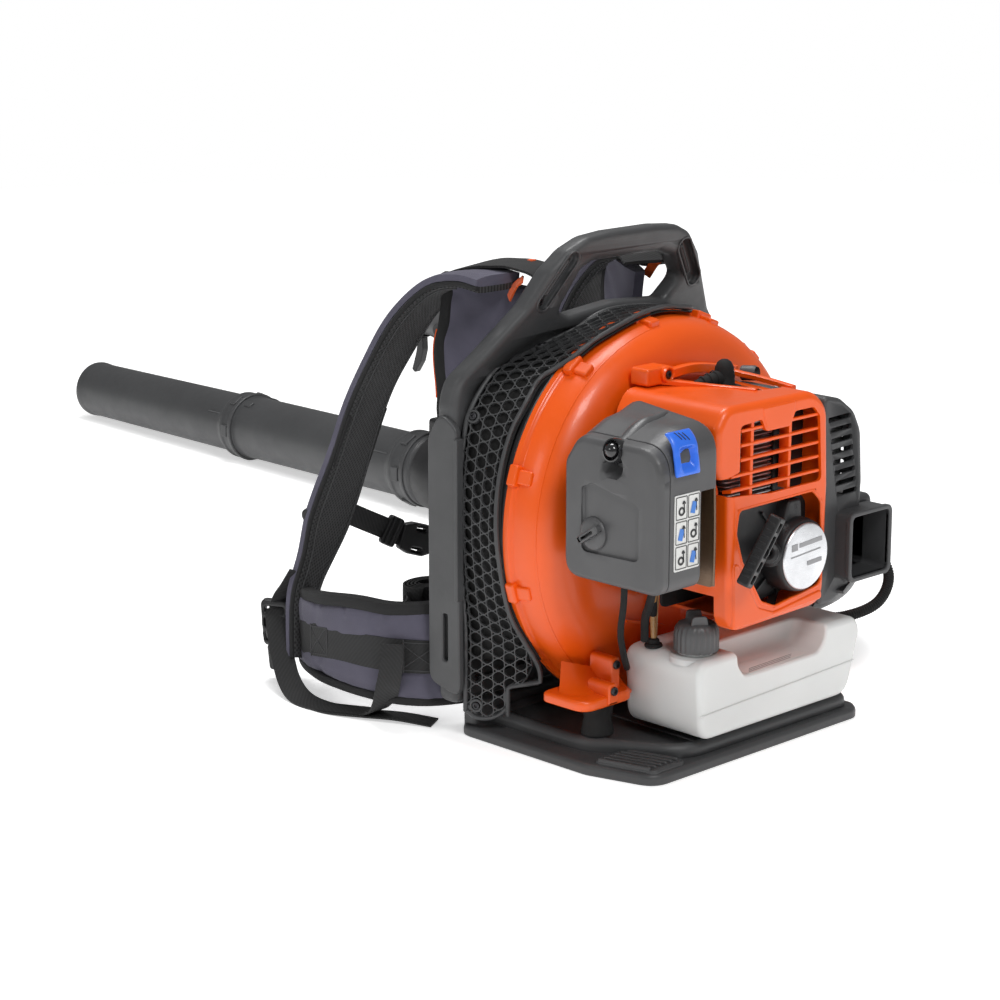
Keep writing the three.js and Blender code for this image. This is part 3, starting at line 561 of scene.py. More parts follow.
def place(ob, body, cad=()):
    """Rides the piece on a body and stands it in for CAD nodes."""
    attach(ob, body)
    if cad:
        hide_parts(*cad)
    return ob



# ---------------------------------------------------------------- hard-surface helpers
def inset_loop(loop, d):
    """The outline moved inwards by d along its corner normals; loop runs anticlockwise."""
    out = []
    n = len(loop)
    for i in range(n):
        p = Vector(loop[i])
        e0 = (p - Vector(loop[i - 1])).normalized()
        e1 = (Vector(loop[(i + 1) % n]) - p).normalized()
        n0, n1 = Vector((-e0.y, e0.x)), Vector((-e1.y, e1.x))
        m = n0 + n1
        m = m.normalized() / max(0.5, m.normalized().dot(n0)) if m.length > 1e-6 else n0
        out.append(tuple(p + m * d))
    return out


def area_of(loop):
    return sum(a[0] * b[1] - b[0] * a[1] for a, b in zip(loop, loop[1:] + loop[:1])) / 2


def plate(name, outer, holes, axis, lo, hi, mat=None, r=(3, 3), n=4, angle=40):
    """A slab with holes; r turns the rims at lo and hi. Outlines are pairs in the plane across the axis."""
    r = r if isinstance(r, tuple) else (r, r)
    loops = [outer if area_of(outer) > 0 else outer[::-1]]
    loops += [h[::-1] if area_of(h) > 0 else h for h in holes]
    steps = []
    for k in range(n + 1):
        a = math.pi / 2 * k / n
        steps.append((r[0] * (1 - math.sin(a)), lo + r[0] * (1 - math.cos(a))))
    top = []
    for k in range(n + 1):
        a = math.pi / 2 * k / n
        top.append((r[1] * (1 - math.sin(a)), hi - r[1] * (1 - math.cos(a))))
    steps = (steps if r[0] > 0 else [(0, lo)]) + (top[::-1] if r[1] > 0 else [(0, hi)])
    verts, faces, ends = [], [], ([], [])
    for loop in loops:
        first = len(verts)
        m = len(loop)
        for d, h in steps:
            verts += [PLACE[axis](p, h) for p in inset_loop(loop, d)]
        for s in range(len(steps) - 1):
            for i in range(m):
                j = (i + 1) % m
                a, b = first + s * m, first + (s + 1) * m
                faces.append((a + i, a + j, b + j, b + i))
        ends[0].append(list(range(first, first + m)))
        ends[1].append(list(range(first + (len(steps) - 1) * m, first + len(steps) * m)))
    for group in ends:
        flat = [i for ring in group for i in ring]
        if len(group) == 1:
            faces.append(tuple(group[0]))
            continue
        rings = [[Vector((*[c for k, c in enumerate(verts[i]) if k != "XYZ".index(axis)],
                0)) for i in ring] for ring in group]
        for tri in tessellate(rings):
            faces.append(tuple(flat[i] for i in tri))
    ob = make(name, verts, faces, mat, angle)
    return weigh(ob)


def tessellate(rings):
    from mathutils.geometry import tessellate_polygon
    return tessellate_polygon(rings)


def weigh(ob):
    """Flat faces keep flat shading beside turned edges."""
    m = ob.modifiers.new("weights", "WEIGHTED_NORMAL")
    m.keep_sharp = True
    m.weight = 100
    return ob


def slice_along(ob, axis, values):
    """Cuts edges across a mesh at the given heights in millimetres, so that it can bend."""
    bm = bmesh.new()
    bm.from_mesh(ob.data)
    for value in values:
        co, no = [0, 0, 0], [0, 0, 0]
        co["XYZ".index(axis)], no["XYZ".index(axis)] = value * MM, 1
        bmesh.ops.bisect_plane(bm, geom=bm.verts[:] + bm.edges[:] + bm.faces[:], plane_co=co, plane_no=no)
    bm.to_mesh(ob.data)
    bm.free()
    return ob


def bend(ob, move):
    """Moves each corner by move(x, y, z), all in millimetres."""
    for v in ob.data.vertices:
        v.co = Vector(move(*(c / MM for c in v.co))) * MM
    return ob


def capsule(a, b, r, n=8):
    """A slot outline between two points."""
    a, b = Vector(a), Vector(b)
    d = (b - a).normalized()
    base = math.atan2(d.y, d.x)
    out = []
    for centre, start in ((b, base - math.pi / 2), (a, base + math.pi / 2)):
        for k in range(n + 1):
            t = start + math.pi * k / n
            out.append((centre.x + r * math.cos(t), centre.y + r * math.sin(t)))
    return out


def screw(name, at, direction, r=4.2, mat=None):
    """A pan-head screw with a round socket."""
    head = lathe(name, [(0, -6), (r * 0.55, -6), (r * 0.55, 0), (r, 0), (r, 1.4), (r * 0.9, 2.2),
            (r * 0.58, 2.6),
                        (r * 0.5, 2.5), (r * 0.46, 0.9), (0, 0.7)], at, direction, 20,
                                mat or M["steel_black"], 30)
    return head


def box_outline(x0, x1, z0, z1, r, n=5):
    return rounded([(x0, z0), (x1, z0), (x1, z1), (x0, z1)], r, n)


def orient(ob, origin, direction, up=(0, 0, 1)):
    """Turns a piece made about the origin, its X along direction, and carries it to origin."""
    x = Vector(direction).normalized()
    z = Vector(up)
    z = (z - x * z.dot(x)).normalized()
    y = z.cross(x)
    m = Matrix((x, y, z)).transposed().to_4x4()
    m.translation = Vector(origin) * MM
    ob.data.transform(m)
    return ob


M["steel_black"] = metal("steel_black", (0.07, 0.07, 0.075), 0.42, (1, 1, 1), 140)


def smoothstep(a, b, x):
    t = min(1, max(0, (x - a) / (b - a)))
    return t * t * (3 - 2 * t)


# ---------------------------------------------------------------- base tray
def base_tray():
    foot = rounded([(-175, -60), (-153, -135), (163, -135), (175, -121), (175, 125), (-175, 125)],
            [40, 26, 26, 12, 20, 20], 8)
    rim = rounded([(-149, 123), (-149, -30), (-96, -123), (165, -125), (167, 123)], [16, 60, 50, 20, 16], 8)
    well = rounded([(-136, 96), (-136, -22), (-88, -110), (152, -112), (152, 96)], [14, 50, 40, 16, 14], 8)
    parts = [
        plate("tray_a", foot, [], "Z", 0, 12, r=(2, 5)),
        plate("tray_b", rim, [well], "Z", 8, 26, r=(0, 8), n=6),
        plate("tray_c", inset_loop(rim, 3), [], "Z", 9, 19, r=(0, 2)),
        plate("tray_d", rounded([(-168, 104), (190, 104), (190, 124), (-168, 124)], 6, 5), [], "Z", 6, 35.5,
                r=(0, 4)),
    ]
    pad = rounded([(-169, -62), (-149, -130), (-100, -130), (-116, -62)], 9, 6)
    step = plate("tray_e", pad, [], "Z", 9, 15.5, r=(0, 2.5))
    parts.append(step)
    for i in range(6):
        x = -158 + i * 8
        rib = capsule((x - 6, -70), (x + 9, -122), 1.9)
        parts.append(plate(f"rib{i}", rib, [], "Z", 14.5, 18.2, r=(0, 1.6), n=3))
    for i in range(4):
        x = -60 + 62 * i
        parts.append(plate(f"web{i}", capsule((x, -104), (x + 4, 90), 2), [], "Z", 14, 21, r=(0, 1.5), n=2))
    for x, y in ((-150, -40), (-150, 70), (160, -100), (160, 80)):
        parts.append(lathe(f"foot{x}{y}", [(0, 0), (10, 0), (10, 3), (0, 3)], (x * 0.94, y, 0.2), (0, 0, 1),
                24))
    for p in parts:
        bake(p)
    ob = join("tray", parts, M["dark_plastic"])
    smooth(ob, 40)
    place(ob, "unit", ["base_tray"])


# ---------------------------------------------------------------- back frame
def lean(z):
    """The handle half leans back over the fan; the turn into it is gradual."""
    straight = max(0.0, z - 360)
    eased = straight * smoothstep(340, 400, z)
    return -eased / 135 * 50


def back_frame():
    left = [(-20, 517), (-52, 514), (-76, 503), (-96, 482), (-114, 448), (-142, 420), (-184, 378),
            (-190, 350), (-190, 36)]
    right = [(214, 36), (214, 350), (211, 378), (178, 410), (154, 446), (132, 479), (107, 504), (84, 514),
            (50, 517)]
    outer = rounded(left + right, [20, 26, 26, 30, 40, 60, 30, 30, 12, 12, 30, 30, 40, 40, 30, 26, 26, 20],
            6)
    hole_shade = rounded([(-66, 437), (-49, 480), (-34, 487), (66, 487), (90, 480), (114, 455), (96, 432),
            (20, 437), (-48, 430)],
                   [9, 10, 14, 14, 12, 10, 10, 20, 8], 5)
    ob = plate("frame", outer, [hole_shade], "Y", 112, 138, r=(9, 7), n=5)
    bake(ob)
    pocket = rounded([(-166, 60), (-166, 330), (-150, 368), (-112, 402), (-76, 416), (96, 418), (140, 398),
            (178, 360), (190, 330), (190, 60)], 18, 6)
    tools = [plate("t0", pocket, [], "Y", 90, 117, r=(0, 4), n=3)]
    slots = (((-94, 450), (-70, 492)), ((132, 451), (101, 489)))
    for k, (a, b) in enumerate(slots):
        tools.append(plate(f"t{k}", capsule(a, b, 8.2, 8), [], "Y", 90, 121.5, r=(0, 3), n=3))
    for x in (-188, 212):
        tools.append(block(f"s{x}", (x - 4, 117, 84), (x + 4, 125, 134)))
    tools.append(lathe("duct_gap", [(0, 0), (54, 0), (54, 150), (0, 150)], (150, 50, 105), (1, 0, 0), 48))
    for t in tools:
        bake(t)
    cut(ob, *tools)
    slice_along(ob, "Z", [340, 350, 360, 370, 380, 390, 400, 410, 420, 430, 440, 450, 460, 470, 480, 490,
            500, 510])
    parts = [ob]
    for k, (a, b) in enumerate(slots):
        d = (Vector(b) - Vector(a)).normalized()
        rail = [(a[0] + d.x * 9, a[1] + d.y * 9), (b[0] - d.x * 2, b[1] - d.y * 2)]
        bar = plate(f"rod{k}", capsule(rail[0], rail[1], 3.0, 8), [], "Y", 115.5, 123, r=(3, 0), n=4)
        parts.append(bake(bar))
        rim = plate(f"lip{k}", capsule(a, b, 10.6, 10), [capsule(a, b, 8.2, 8)], "Y", 110.9, 114,
                r=(1.1, 0), n=3)
        parts.append(bake(rim))
    for p in parts:
        bend(p, lambda x, y, z: (x, y + lean(z), z))
    flange = rounded([(100, 48), (146, 58), (146, 316), (128, 345), (104, 330)], [12, 16, 20, 14, 12], 6)
    slot = box_outline(118, 125, 84, 134, 2.5, 3)
    for x0, x1 in ((-195, -187), (211, 219)):
        parts.append(bake(plate(f"wing{x0}", flange, [slot], "X", x0, x1,
                r=(2.2, 2.2) if x0 < 0 else (0, 2.2), n=3)))
        parts.append(bake(plate(f"wingrib{x0}", rounded([(101, 150), (106, 150), (106, 320), (101, 320)], 2,
                3), [], "X",
                                x0 - (1.6 if x0 < 0 else -1), x1 + (0 if x0 < 0 else 1.6), r=1.2, n=3)))
    for z in (300, 250, 200, 150, 100):
        parts.append(bake(plate(f"brace{z}", capsule((-150, z), (174, z + 6), 3), [], "Y", 137, 145,
                r=(0, 2.4), n=3)))
    for x in (-120, -40, 60, 140):
        parts.append(bake(plate(f"upright{x}", capsule((x, 60), (x, 400), 3), [], "Y", 137, 144, r=(0, 2.4),
                n=3)))
    ob = join("carry_frame", parts, M["dark_plastic"])
    smooth(ob, 38)
    place(ob, "unit", ["back_frame"])
    bolts = []
    for k, (a, b, s) in enumerate(((slots[0][0], slots[0][1], 0.02), (slots[1][0], slots[1][1], 0.96))):
        p = Vector(a).lerp(Vector(b), s)
        bolts.append(screw(f"frame_screw{k}", (p.x, 121 + lean(p.y), p.y), (0, -1, -0.15), 5.2))
    for k, (x, z) in enumerate(((-176, 322), (-176, 230), (-160, 60), (190, 320), (196, 200))):
        bolts.append(screw(f"edge_screw{k}", (x, 112.6, z), (0, -1, 0), 3.6))
    place(join("frame_screws", bolts), "unit")


# ---------------------------------------------------------------- intake screen
SCREEN = [
    ((122, 84, 414), (112, 60, 420)), ((81, 85, 425), (75, 30, 431)), ((38, 85, 430), (33, 27, 437)),
            ((-4, 85, 429), (-5, 25, 435)),
    ((-36, 95, 414), (-47, 26, 424)), ((-64, 102, 404), (-72, 30, 414)), ((-102, 108, 395), (-92, 34, 402)),
    ((-133, 108, 386), (-108, 48, 388)), ((-155, 108, 369), (-123, 56, 377)),
            ((-172, 108, 348), (-142, 56, 355)),
    ((-181, 108, 325), (-161, 58, 327)), ((-187, 108, 271), (-179, 56, 283)),
            ((-187, 108, 213), (-187, 52, 232)),
    ((-183, 108, 150), (-180, 50, 176)), ((-181, 108, 118), (-170, 48, 140)),
            ((-181, 108, 92), (-153, 44, 110)),
    ((-181, 108, 72), (-143, 34, 84)), ((-181, 108, 52), (-142, 33, 60)), ((-181, 108, 12), (-142, 33, 20)),
]


def screen_surface(samples=240):
    outer, _ = curve_points([o for o, _ in SCREEN], samples)
    inner, _ = curve_points([i for _, i in SCREEN], samples)
    length = [0.0]
    for k in range(1, samples):
        a = (outer[k] + inner[k]) / 2
        b = (outer[k - 1] + inner[k - 1]) / 2
        length.append(length[-1] + (a - b).length)

    def at(s, u):
        s = min(max(s, 0), length[-1] - 1e-6)
        k = 0
        while k < samples - 2 and length[k + 1] < s:
            k += 1
        f = (s - length[k]) / (length[k + 1] - length[k])
        o, i = outer[k].lerp(outer[k + 1], f), inner[k].lerp(inner[k + 1], f)
        return o.lerp(i, u)

    def width(s):
        return (at(s, 1) - at(s, 0)).length
    return at, width, length[-1]


def intake_screen():
    at, width, total = screen_surface()
    pitch = 14.0
    col = pitch * math.sqrt(3) / 2
    notch = total - 50

    def reach(s):
        """How far across the band runs, before its border; the foot of it is a narrow tongue."""
        w = width(s)
        if s < 46:
            return w * smoothstep(-30, 46, s)
        if s > notch:
            return min(w, 50 + (w - 50) * (1 - smoothstep(notch, notch + 7, s)))
        return w

    def end(u):
        """The tongue's own rounded foot."""
        return total - 8 - 16 * (max(0, u - 26) / 26) ** 2 - 14 * (max(0, 18 - u) / 18) ** 2

    def hexagon(cs, cu, r):
        return [(cs + r * math.sin(math.pi / 3 * k + math.pi / 6),
                cu + r * math.cos(math.pi / 3 * k + math.pi / 6)) for k in range(6)]

    def held(s, u, margin):
        s = min(max(s, 2), end(u) - margin)
        return s, min(max(u, margin), max(margin, reach(s) - margin))
    verts, faces, known = [], [], {}

    def point(s, u):
        key = (round(s * 4), round(u * 4))
        if key not in known:
            known[key] = len(verts)
            w = width(s)
            verts.append(at(s, u / w))
        return known[key]
    columns = 7
    for c in range(-1, columns):
        rows = int(total / pitch) + 3
        for k in range(-1, rows):
            cs = k * pitch + (pitch / 2 if c % 2 else 0)
            cu = 2 + c * col
            outer = [held(s, u, 2.0) for s, u in hexagon(cs, cu, pitch / math.sqrt(3))]
            hole_shade = [held(s, u, 3.4) for s, u in hexagon(cs, cu, (pitch - 2.1) / math.sqrt(3))]
            spread = max(p[1] for p in hole_shade) - min(p[1] for p in hole_shade)
            tall = max(p[0] for p in hole_shade) - min(p[0] for p in hole_shade)
            if min(max(p[i] for p in outer) - min(p[i] for p in outer) for i in (0, 1)) < 0.5:
                continue
            a = [point(*p) for p in outer]
            if spread < 2.5 or tall < 2.5 or cs < 20:
                if len(set(a)) > 2:
                    faces.append(tuple(dict.fromkeys(a)))
                continue
            b = [point(*p) for p in hole_shade]
            for i in range(6):
                q = tuple(dict.fromkeys((a[i], a[(i + 1) % 6], b[(i + 1) % 6], b[i])))
                if len(q) > 2:
                    faces.append(q)
    net = make("net", verts, faces, None, 60)
    m = net.modifiers.new("thick", "SOLIDIFY")
    m.thickness, m.offset = 3.0 * MM, 0
    bake(net)
    border = []
    s = 4.0
    while s < total:
        border.append((min(s, end(3)), 2))
        s += 4
    right = []
    s = 4.0
    while s < total - 10:
        right.append((s, reach(s) - 2))
        s += 2.5 if s > notch - 8 else 4
    foot = [(end(u) - 2, u) for u in (6, 12, 20, 28, 36, 42, 47)]
    line = [at(p[0], p[1] / width(p[0])) for p in border[:-3] + foot + right[::-1]]
    rim = tube("rim", [p for p in line], 2.6, 520, 8, None, False)
    # A near-black sheet just behind the net: painted shade for the dark space behind the screen.
    skin = []
    n = 130
    for k in range(n + 1):
        s = total * k / n
        for u in (0.0, 0.33, 0.66, 1.0):
            p = at(s, u * min(1, reach(s) / width(s)))
            d = Vector((25, p.y, 225)) - p
            skin.append(p + Vector((d.x, 0, d.z)).normalized() * 4 + Vector((0, 3 * (1 - u), 0)))
    dark = make("screen_painted_shade", skin, [(4 * k + j, 4 * k + j + 1, 4 * k + j + 5,
            4 * k + j + 4) for k in range(n - 14) for j in range(3)], M["painted_shade"], 60)
    m = dark.modifiers.new("thick", "SOLIDIFY")
    m.thickness = 1.2 * MM
    bake(dark)
    place(dark, "unit")
    bosses = []
    for k, (s, u) in enumerate(((208, 9), (322, 8), (total - 24, 14))):
        p = at(s, u / width(s))
        q = at(s, (u + 2) / width(s)) - p
        t = at(s + 2, u / width(s)) - p
        nrm = q.cross(t).normalized()
        if nrm.x > 0:
            nrm = -nrm
        bosses.append(lathe(f"boss{k}", [(0, -4), (7, -4), (7, 2.2), (6, 2.8), (5, 2.6), (4.6, 0.5),
                (0, 0.5)], p, nrm, 24))
        place(screw(f"screen_screw{k}", p + nrm * 0.6, nrm, 3.8), "unit")
    ob = join("intake_mesh", [net, rim] + bosses, M["screen_plastic"])
    smooth(ob, 45)
    place(ob, "unit", ["intake_screen"])


# ---------------------------------------------------------------- fan housings
SCROLL = (25, 225)


def housing(name, profile, pipe_y, mat, eye):
    """Half a fan case: a turned shell, its outlet pipe, a flat floor and the eye cut through."""
    x, z = SCROLL
    body = lathe(name, profile, (x, 0, z), (0, 1, 0), 144, mat, 40)
    pipe = lathe(name + "_pipe", [(49, 0), (52, 0), (52, 130), (49, 130)], (120, 50, 105), (1, 0, 0), 64,
            mat, 40, True)
    tool = block("half", (-600, pipe_y[1], -200), (600, 600, 600))
    boolean(pipe, tool)
    tool = block("half", (-600, -600, -200), (600, pipe_y[0], 600))
    boolean(pipe, tool)
    boolean(body, block("floor_cut", (-600, -300, -200), (600, 300, 46)))
    for tool in eye:
        boolean(body, tool)
    return join(name, [body, pipe], mat)


def fan_cases():
    x, z = SCROLL
    front = [(0, -9), (60, -10), (120, -10), (150, -9.5), (168, -8), (180, -4.5), (189, 1), (195, 7),
            (199, 14), (201.6, 22), (202.8, 30),
             (203.2, 38), (203.4, 41), (206.2, 41.6), (207.3, 43), (207.6, 49), (206.5, 50), (0, 50)]
    eye = [lathe("eye", [(0, 0), (44, 0), (44, 60), (0, 60)], (40, -40, 205), (0, 1, 0), 48)]
    body = housing("case_front", front, (-60, 50), M["orange_plastic"], eye)
    parts = [body]
    for k, (deg, fore) in enumerate(((45, 6), (69, 8), (97, 12), (126, 10), (162, 2), (196, 2))):
        a = math.radians(deg)
        out = Vector((math.cos(a), 0, math.sin(a)))
        along = Vector((-math.sin(a), 0, math.cos(a)))
        lug = plate(f"lug{k}", box_outline(-11, 11, -6, 6, 3, 4), [], "Z", -7, 7, r=(2.4, 2.4), n=3)
        bake(lug)
        orient(lug, Vector((x, 46 - fore, z)) + out * 204, along, out)
        tongue = plate(f"tongue{k}", box_outline(-7.5, 7.5, -13, 8, 3, 4), [], "Z", -5, 4.4, r=(0, 2.2),
                n=3)
        bake(tongue)
        orient(tongue, Vector((x, 33 - fore, z)) + out * 201.5, along, out + Vector((0, -0.14, 0)))
        parts += [lug, tongue]
    spine = []
    for k, (a0, a1) in enumerate(((98, 235),)):
        line = []
        for i in range(60):
            a = math.radians(lerp(a0, a1, i / 59))
            line.append((x + 197.5 * math.cos(a), 12.5, z + 197.5 * math.sin(a)))
        spine.append(tube(f"crease{k}", line, 1.1, 160, 8))
    parts += spine
    foot = rounded([(-168, -52), (-92, -52), (-92, 10), (-168, 10)], [18, 18, 6, 10], 7)
    parts.append(bake(plate("shoe", foot, [], "Z", 60, 71, r=(2.5, 4), n=4)))
    skirt_hi = [(-138, 10, 96), (-130, -1, 94), (-116, -7, 90), (-100, -9, 86), (-82, -10, 84)]
    skirt_lo = [(-167, -14, 69), (-163, -40, 69), (-144, -51, 69), (-118, -51, 69), (-95, -48, 69)]
    verts, faces = [], []
    hi, _ = curve_points(skirt_hi, 24)
    lo, _ = curve_points(skirt_lo, 24)
    for a, b in zip(hi, lo):
        for j in range(9):
            t = j / 8
            p = a.lerp(b, t)
            p.z = lerp(b.z, a.z, (1 - t) ** 2.1)
            verts.append(p)
    for i in range(23):
        for j in range(8):
            faces.append((9 * i + j, 9 * i + j + 1, 9 * i + j + 10, 9 * i + j + 9))
    skirt = make("skirt", verts, faces, None, 60)
    m = skirt.modifiers.new("thick", "SOLIDIFY")
    m.thickness = 3 * MM
    parts.append(bake(skirt))
    for k, (px, py, h) in enumerate(((-108, -34, 104), (-128, -50, 84))):
        post = plate(f"post{k}", rounded([(px - 7, 62), (px + 7, 62), (px + 6, h), (px - 6, h)],
                [1, 1, 5.5, 5.5], 6), [], "Y", py - 4, py + 26, r=(2, 0), n=3)
        parts.append(bake(post))
        place(screw(f"shoe_screw{k}", (px, py - 4.2, h - 8), (0, -1, 0), 4.6), "unit")
    for k, (a, b) in enumerate((((-70, -11.5, 130), (-10, -11.5, 112)),
            ((-72, -11.5, 98), (-20, -11.5, 84)), ((-50, -11.5, 66), (-28, -11.5, 150)))):
        parts.append(strip(f"gusset{k}", [a, Vector(a).lerp(Vector(b), 0.5), b], 12, 2.6, (0, 1, 0), 12))
    ob = join("fan_case_front", parts, M["orange_plastic"])
    smooth(ob, 38)
    place(ob, "unit", ["fan_housing_front"])
    rear = [(0, 50.4), (206, 50.4), (207, 51.5), (207, 56), (205, 58), (203.5, 62), (201, 70), (196, 78),
            (188, 84), (176, 89), (160, 93), (140, 96),
            (100, 98), (76, 98), (72, 94), (0, 94)]
    eye = [lathe("eye", [(0, 0), (70, 0), (70, 60), (0, 60)], (40, 80, 205), (0, 1, 0), 64)]
    body = housing("case_rear", rear, (50.4, 200), M["black_plastic"], eye)
    parts = [body]
    for k in range(10):
        a = math.radians(36 * k + 12)
        c, s = math.cos(a), math.sin(a)
        parts.append(strip(f"rib{k}", [(x + 80 * c, 97.5, z + 80 * s), (x + 130 * c, 95.5, z + 130 * s),
                (x + 180 * c, 87, z + 180 * s)], 5, 3, (0, 1, 0), 12))
    ob = join("fan_case_rear", parts, M["black_plastic"])
    smooth(ob, 38)
    place(ob, "unit", ["fan_housing_rear"])
    for name, px, py, h in (("damper_left", -126, -30, 33), ("damper_right", 95, 12, 18)):
        rings = [(0, 0), (16.5, 0), (17, 2), (16, 5), (15.4, h * 0.3), (13.6, h * 0.5), (15.4, h * 0.7),
                (16, h - 4), (16.6, h - 1.5), (15, h), (0, h)]
        ob = lathe(name + "_rubber", rings, (px, py, 26.5), (0, 0, 1), 40, M["rubber"], 50)
        place(ob, "unit", [name])


base_tray()
back_frame()
intake_screen()
fan_cases()


# ---------------------------------------------------------------- engine cover
COVER = [(-66, 142), (-70, 288), (-90, 312), (-90, 352), (-76, 373), (58, 371), (80, 352), (84, 270),
        (81, 146)]


def engine_cover():
    outline = rounded(COVER, [22, 22, 20, 20, 24, 34, 30, 40, 22], 7)
    ob = bake(plate("cover", outline, [], "Y", -152, -18, r=(8, 0), n=6))
    hollow = bake(plate("hollow", inset_loop(outline[::-1] if area_of(outline) < 0 else outline, 3.2), [],
            "Y", -148.5, 20, r=(5, 0), n=3))
    window = rounded([(-56, 352), (-24, 354), (-17, 341), (20, 341), (27, 355), (56, 355), (66, 345),
            (71, 277), (-10, 277), (-48, 281),
                      (-82, 283), (-82, 301), (-56, 306)], [6, 4, 5, 5, 4, 6, 7, 6, 4, 3, 1, 1, 3], 4)
    opening = rounded([(-56, 268), (58, 269), (72, 256), (75, 168), (2, 158), (-20, 167), (-50, 214),
            (-60, 244)], [8, 10, 12, 10, 12, 10, 14, 12], 5)
    tools = [
        hollow,
        bake(plate("w", window, [], "Y", -170, -134, r=(0, 0))),
        bake(plate("s", opening, [], "Y", -170, -130, r=(0, 0))),
        bake(plate("r", rounded([(12, -112), (46, -118), (70, -96), (64, -14), (2, -14)], 9, 5), [], "Z",
                359, 390, r=(5, 0))),
        block("b1", (-140, -30, 130), (0, 40, 300)),
        block("b2", (-120, -68, 236), (-55, 40, 274)),
        block("b4", (-120, -131, 100), (-30, 40, 178)),
    ]
    cut(ob, *tools)
    bevel(ob, 1.1, 2, 35)
    parts = [ob]
    for i in range(5):
        z = 346 - 14.6 * i
        x0 = -52 if i < 3 else -66
        slat = plate(f"slat{i}", box_outline(-150, -138, -1.7, 1.7, 1.2, 3), [], "X", x0 if i != 0 else -52,
                66 + 0.8 * i, r=0.4, n=2)
        bake(slat)
        bend(slat, lambda x, y, zz, z=z: (x, y, z + zz - (y + 150) * 0.22))
        if i == 0:
            boolean(slat, block("n", (-19, -160, 300), (22, -120, 400)))
        parts.append(slat)
    for x, top in ((-35, 355), (23, 356)):
        bar = plate(f"bar{x}", rounded([(x - 2.2, 276), (x + 2.2, 276), (x + 3.4, top), (x - 1.2, top)], 1,
                2), [], "Y", -149, -136, r=1, n=2)
        parts.append(bake(bar))
    badge = rounded([(-17, 341), (20, 341), (28, 366), (-25, 366)], [6, 6, 3, 3], 5)
    parts.append(bake(plate("badge", badge, [], "Y", -153, -146, r=(2, 0), n=3)))
    frame_line = [(p[0], -151.2, p[1]) for p in opening] + [(opening[0][0], -151.2, opening[0][1])]
    parts.append(tube("edge", frame_line, 1.6, 200, 8, None, False))
    lip = rounded([(-62, 146), (76, 152), (75, 163), (0, 154), (-24, 163), (-56, 214), (-64, 214)], 5, 4)
    parts.append(bake(plate("chin", lip, [], "Y", -153.5, -146, r=(2.5, 0), n=3)))
    ear = bake(plate("ear", box_outline(-62, -26, 374, 392, 4, 4), [], "Y", -34, -12, r=(2.5, 0), n=3))
    parts.append(ear)
    parts.append(lathe("ear_eye", [(0, 0), (9, 0), (9, 6), (7.5, 7.5), (5.4, 7.5), (5.4, 3), (0, 3)],
            (-34, -31, 384), (0, -1, 0), 28))
    parts.append(strip("spine1", [(-26, -22, 380), (20, -24, 382), (80, -26, 372)], 9, 8, (0, 1, 0), 30,
            None, 1))
    parts.append(strip("spine2", [(-40, -30, 377), (0, -70, 371), (14, -112, 371)], 7, 4, (1, 0.4, 0), 24,
            None, 1))
    parts.append(strip("spine3", [(70, -28, 372), (74, -70, 369), (72, -112, 366)], 7, 4, (1, 0, 0), 24,
            None, 1))
    ob = join("engine_shroud", parts, M["orange_plastic"])
    smooth(ob, 38)
    weigh(ob)
    bake(ob)
    place(ob, "unit", ["engine_cover"])
    place(screw("ear_screw", (-34, -36, 384), (0, -1, 0), 4), "unit")
    knob = lathe("side_stud", [(0, 0), (8, 0), (8, 14), (6.5, 17), (6, 12), (0, 12)], (96, -24, 366),
            (0.2, -1, 0.1), 24, M["mid_plastic"])
    place(knob, "unit")


def cylinder_fins():
    parts = []
    for i in range(20):
        z = 268 + i * 4.6
        shape = rounded([(-56, -134), (16, -134), (20, -60), (-56, -60)], 5, 3)
        parts.append(bake(plate(f"fin{i}", shape, [], "Z", z, z + 1.5, r=0.5, n=2)))
    core = lathe("core", [(0, 262), (26, 262), (26, 358), (0, 358)], (-18, -96, 0), (0, 0, 1), 32)
    ob = join("cylinder_fins", parts + [core], M["alloy"])
    place(ob, "unit", ["engine_cylinder"])
    baffle = bake(plate("cowl_baffle", rounded([(24, 268), (70, 268), (70, 350), (24, 350)], 6), [], "Y",
            -128, -118, M["black_plastic"], r=2))
    rib = tube("ht_lead", [(34, -132, 276), (36, -134, 300), (40, -132, 330), (38, -120, 352)], 4.4, 40, 12,
            M["rubber"])
    place(baffle, "unit")
    place(rib, "unit")
    dark = bake(plate("engine_shadow", rounded([(-62, 150), (78, 150), (78, 352), (-62, 352)], 8), [], "Y",
            -58, -54, M["painted_shade"], r=1))
    place(dark, "unit")


def spark_boot():
    dome = lathe("boot", [(0, 0), (13, 0), (13, 4), (11, 6), (10.6, 16), (9.6, 23), (7, 28), (3.6, 30.4),
            (0, 31)], (34, -52, 362), (0, 0, 1), 36)
    skirt = bake(plate("boot_skirt", rounded([(18, -66), (50, -66), (50, -38), (18, -38)], 9, 5), [], "Z",
            359, 366, r=(0, 2), n=3))
    arm = tube("boot_arm", [(34, -52, 374), (18, -50, 373), (0, -46, 369), (-12, -40, 362)],
            lambda f: 9 - 4.5 * f, 24, 18)
    rings = [lathe(f"boot_ring{k}", [(8.6 - k, 0), (9.8 - k, 0.8), (8.6 - k, 2.2)],
            (22 - 8 * k, -50.6 + k, 373.3 - k), (-1, 0.15, -0.14), 24) for k in range(3)]
    ob = join("plug_boot", [dome, skirt, arm] + rings, M["rubber"])
    smooth(ob, 50)
    place(ob, "unit", ["spark_plug_boot"])


# ---------------------------------------------------------------- recoil starter
CRANK = (40, 205)
PULL = Vector((-0.819, -0.499, 0.285))
ROPE_EXIT = Vector((-1.5, -147, 213))
GRIP_AT = ROPE_EXIT + PULL * 62
GRIP_DIR = Vector((-0.427, 0.199, -0.882))


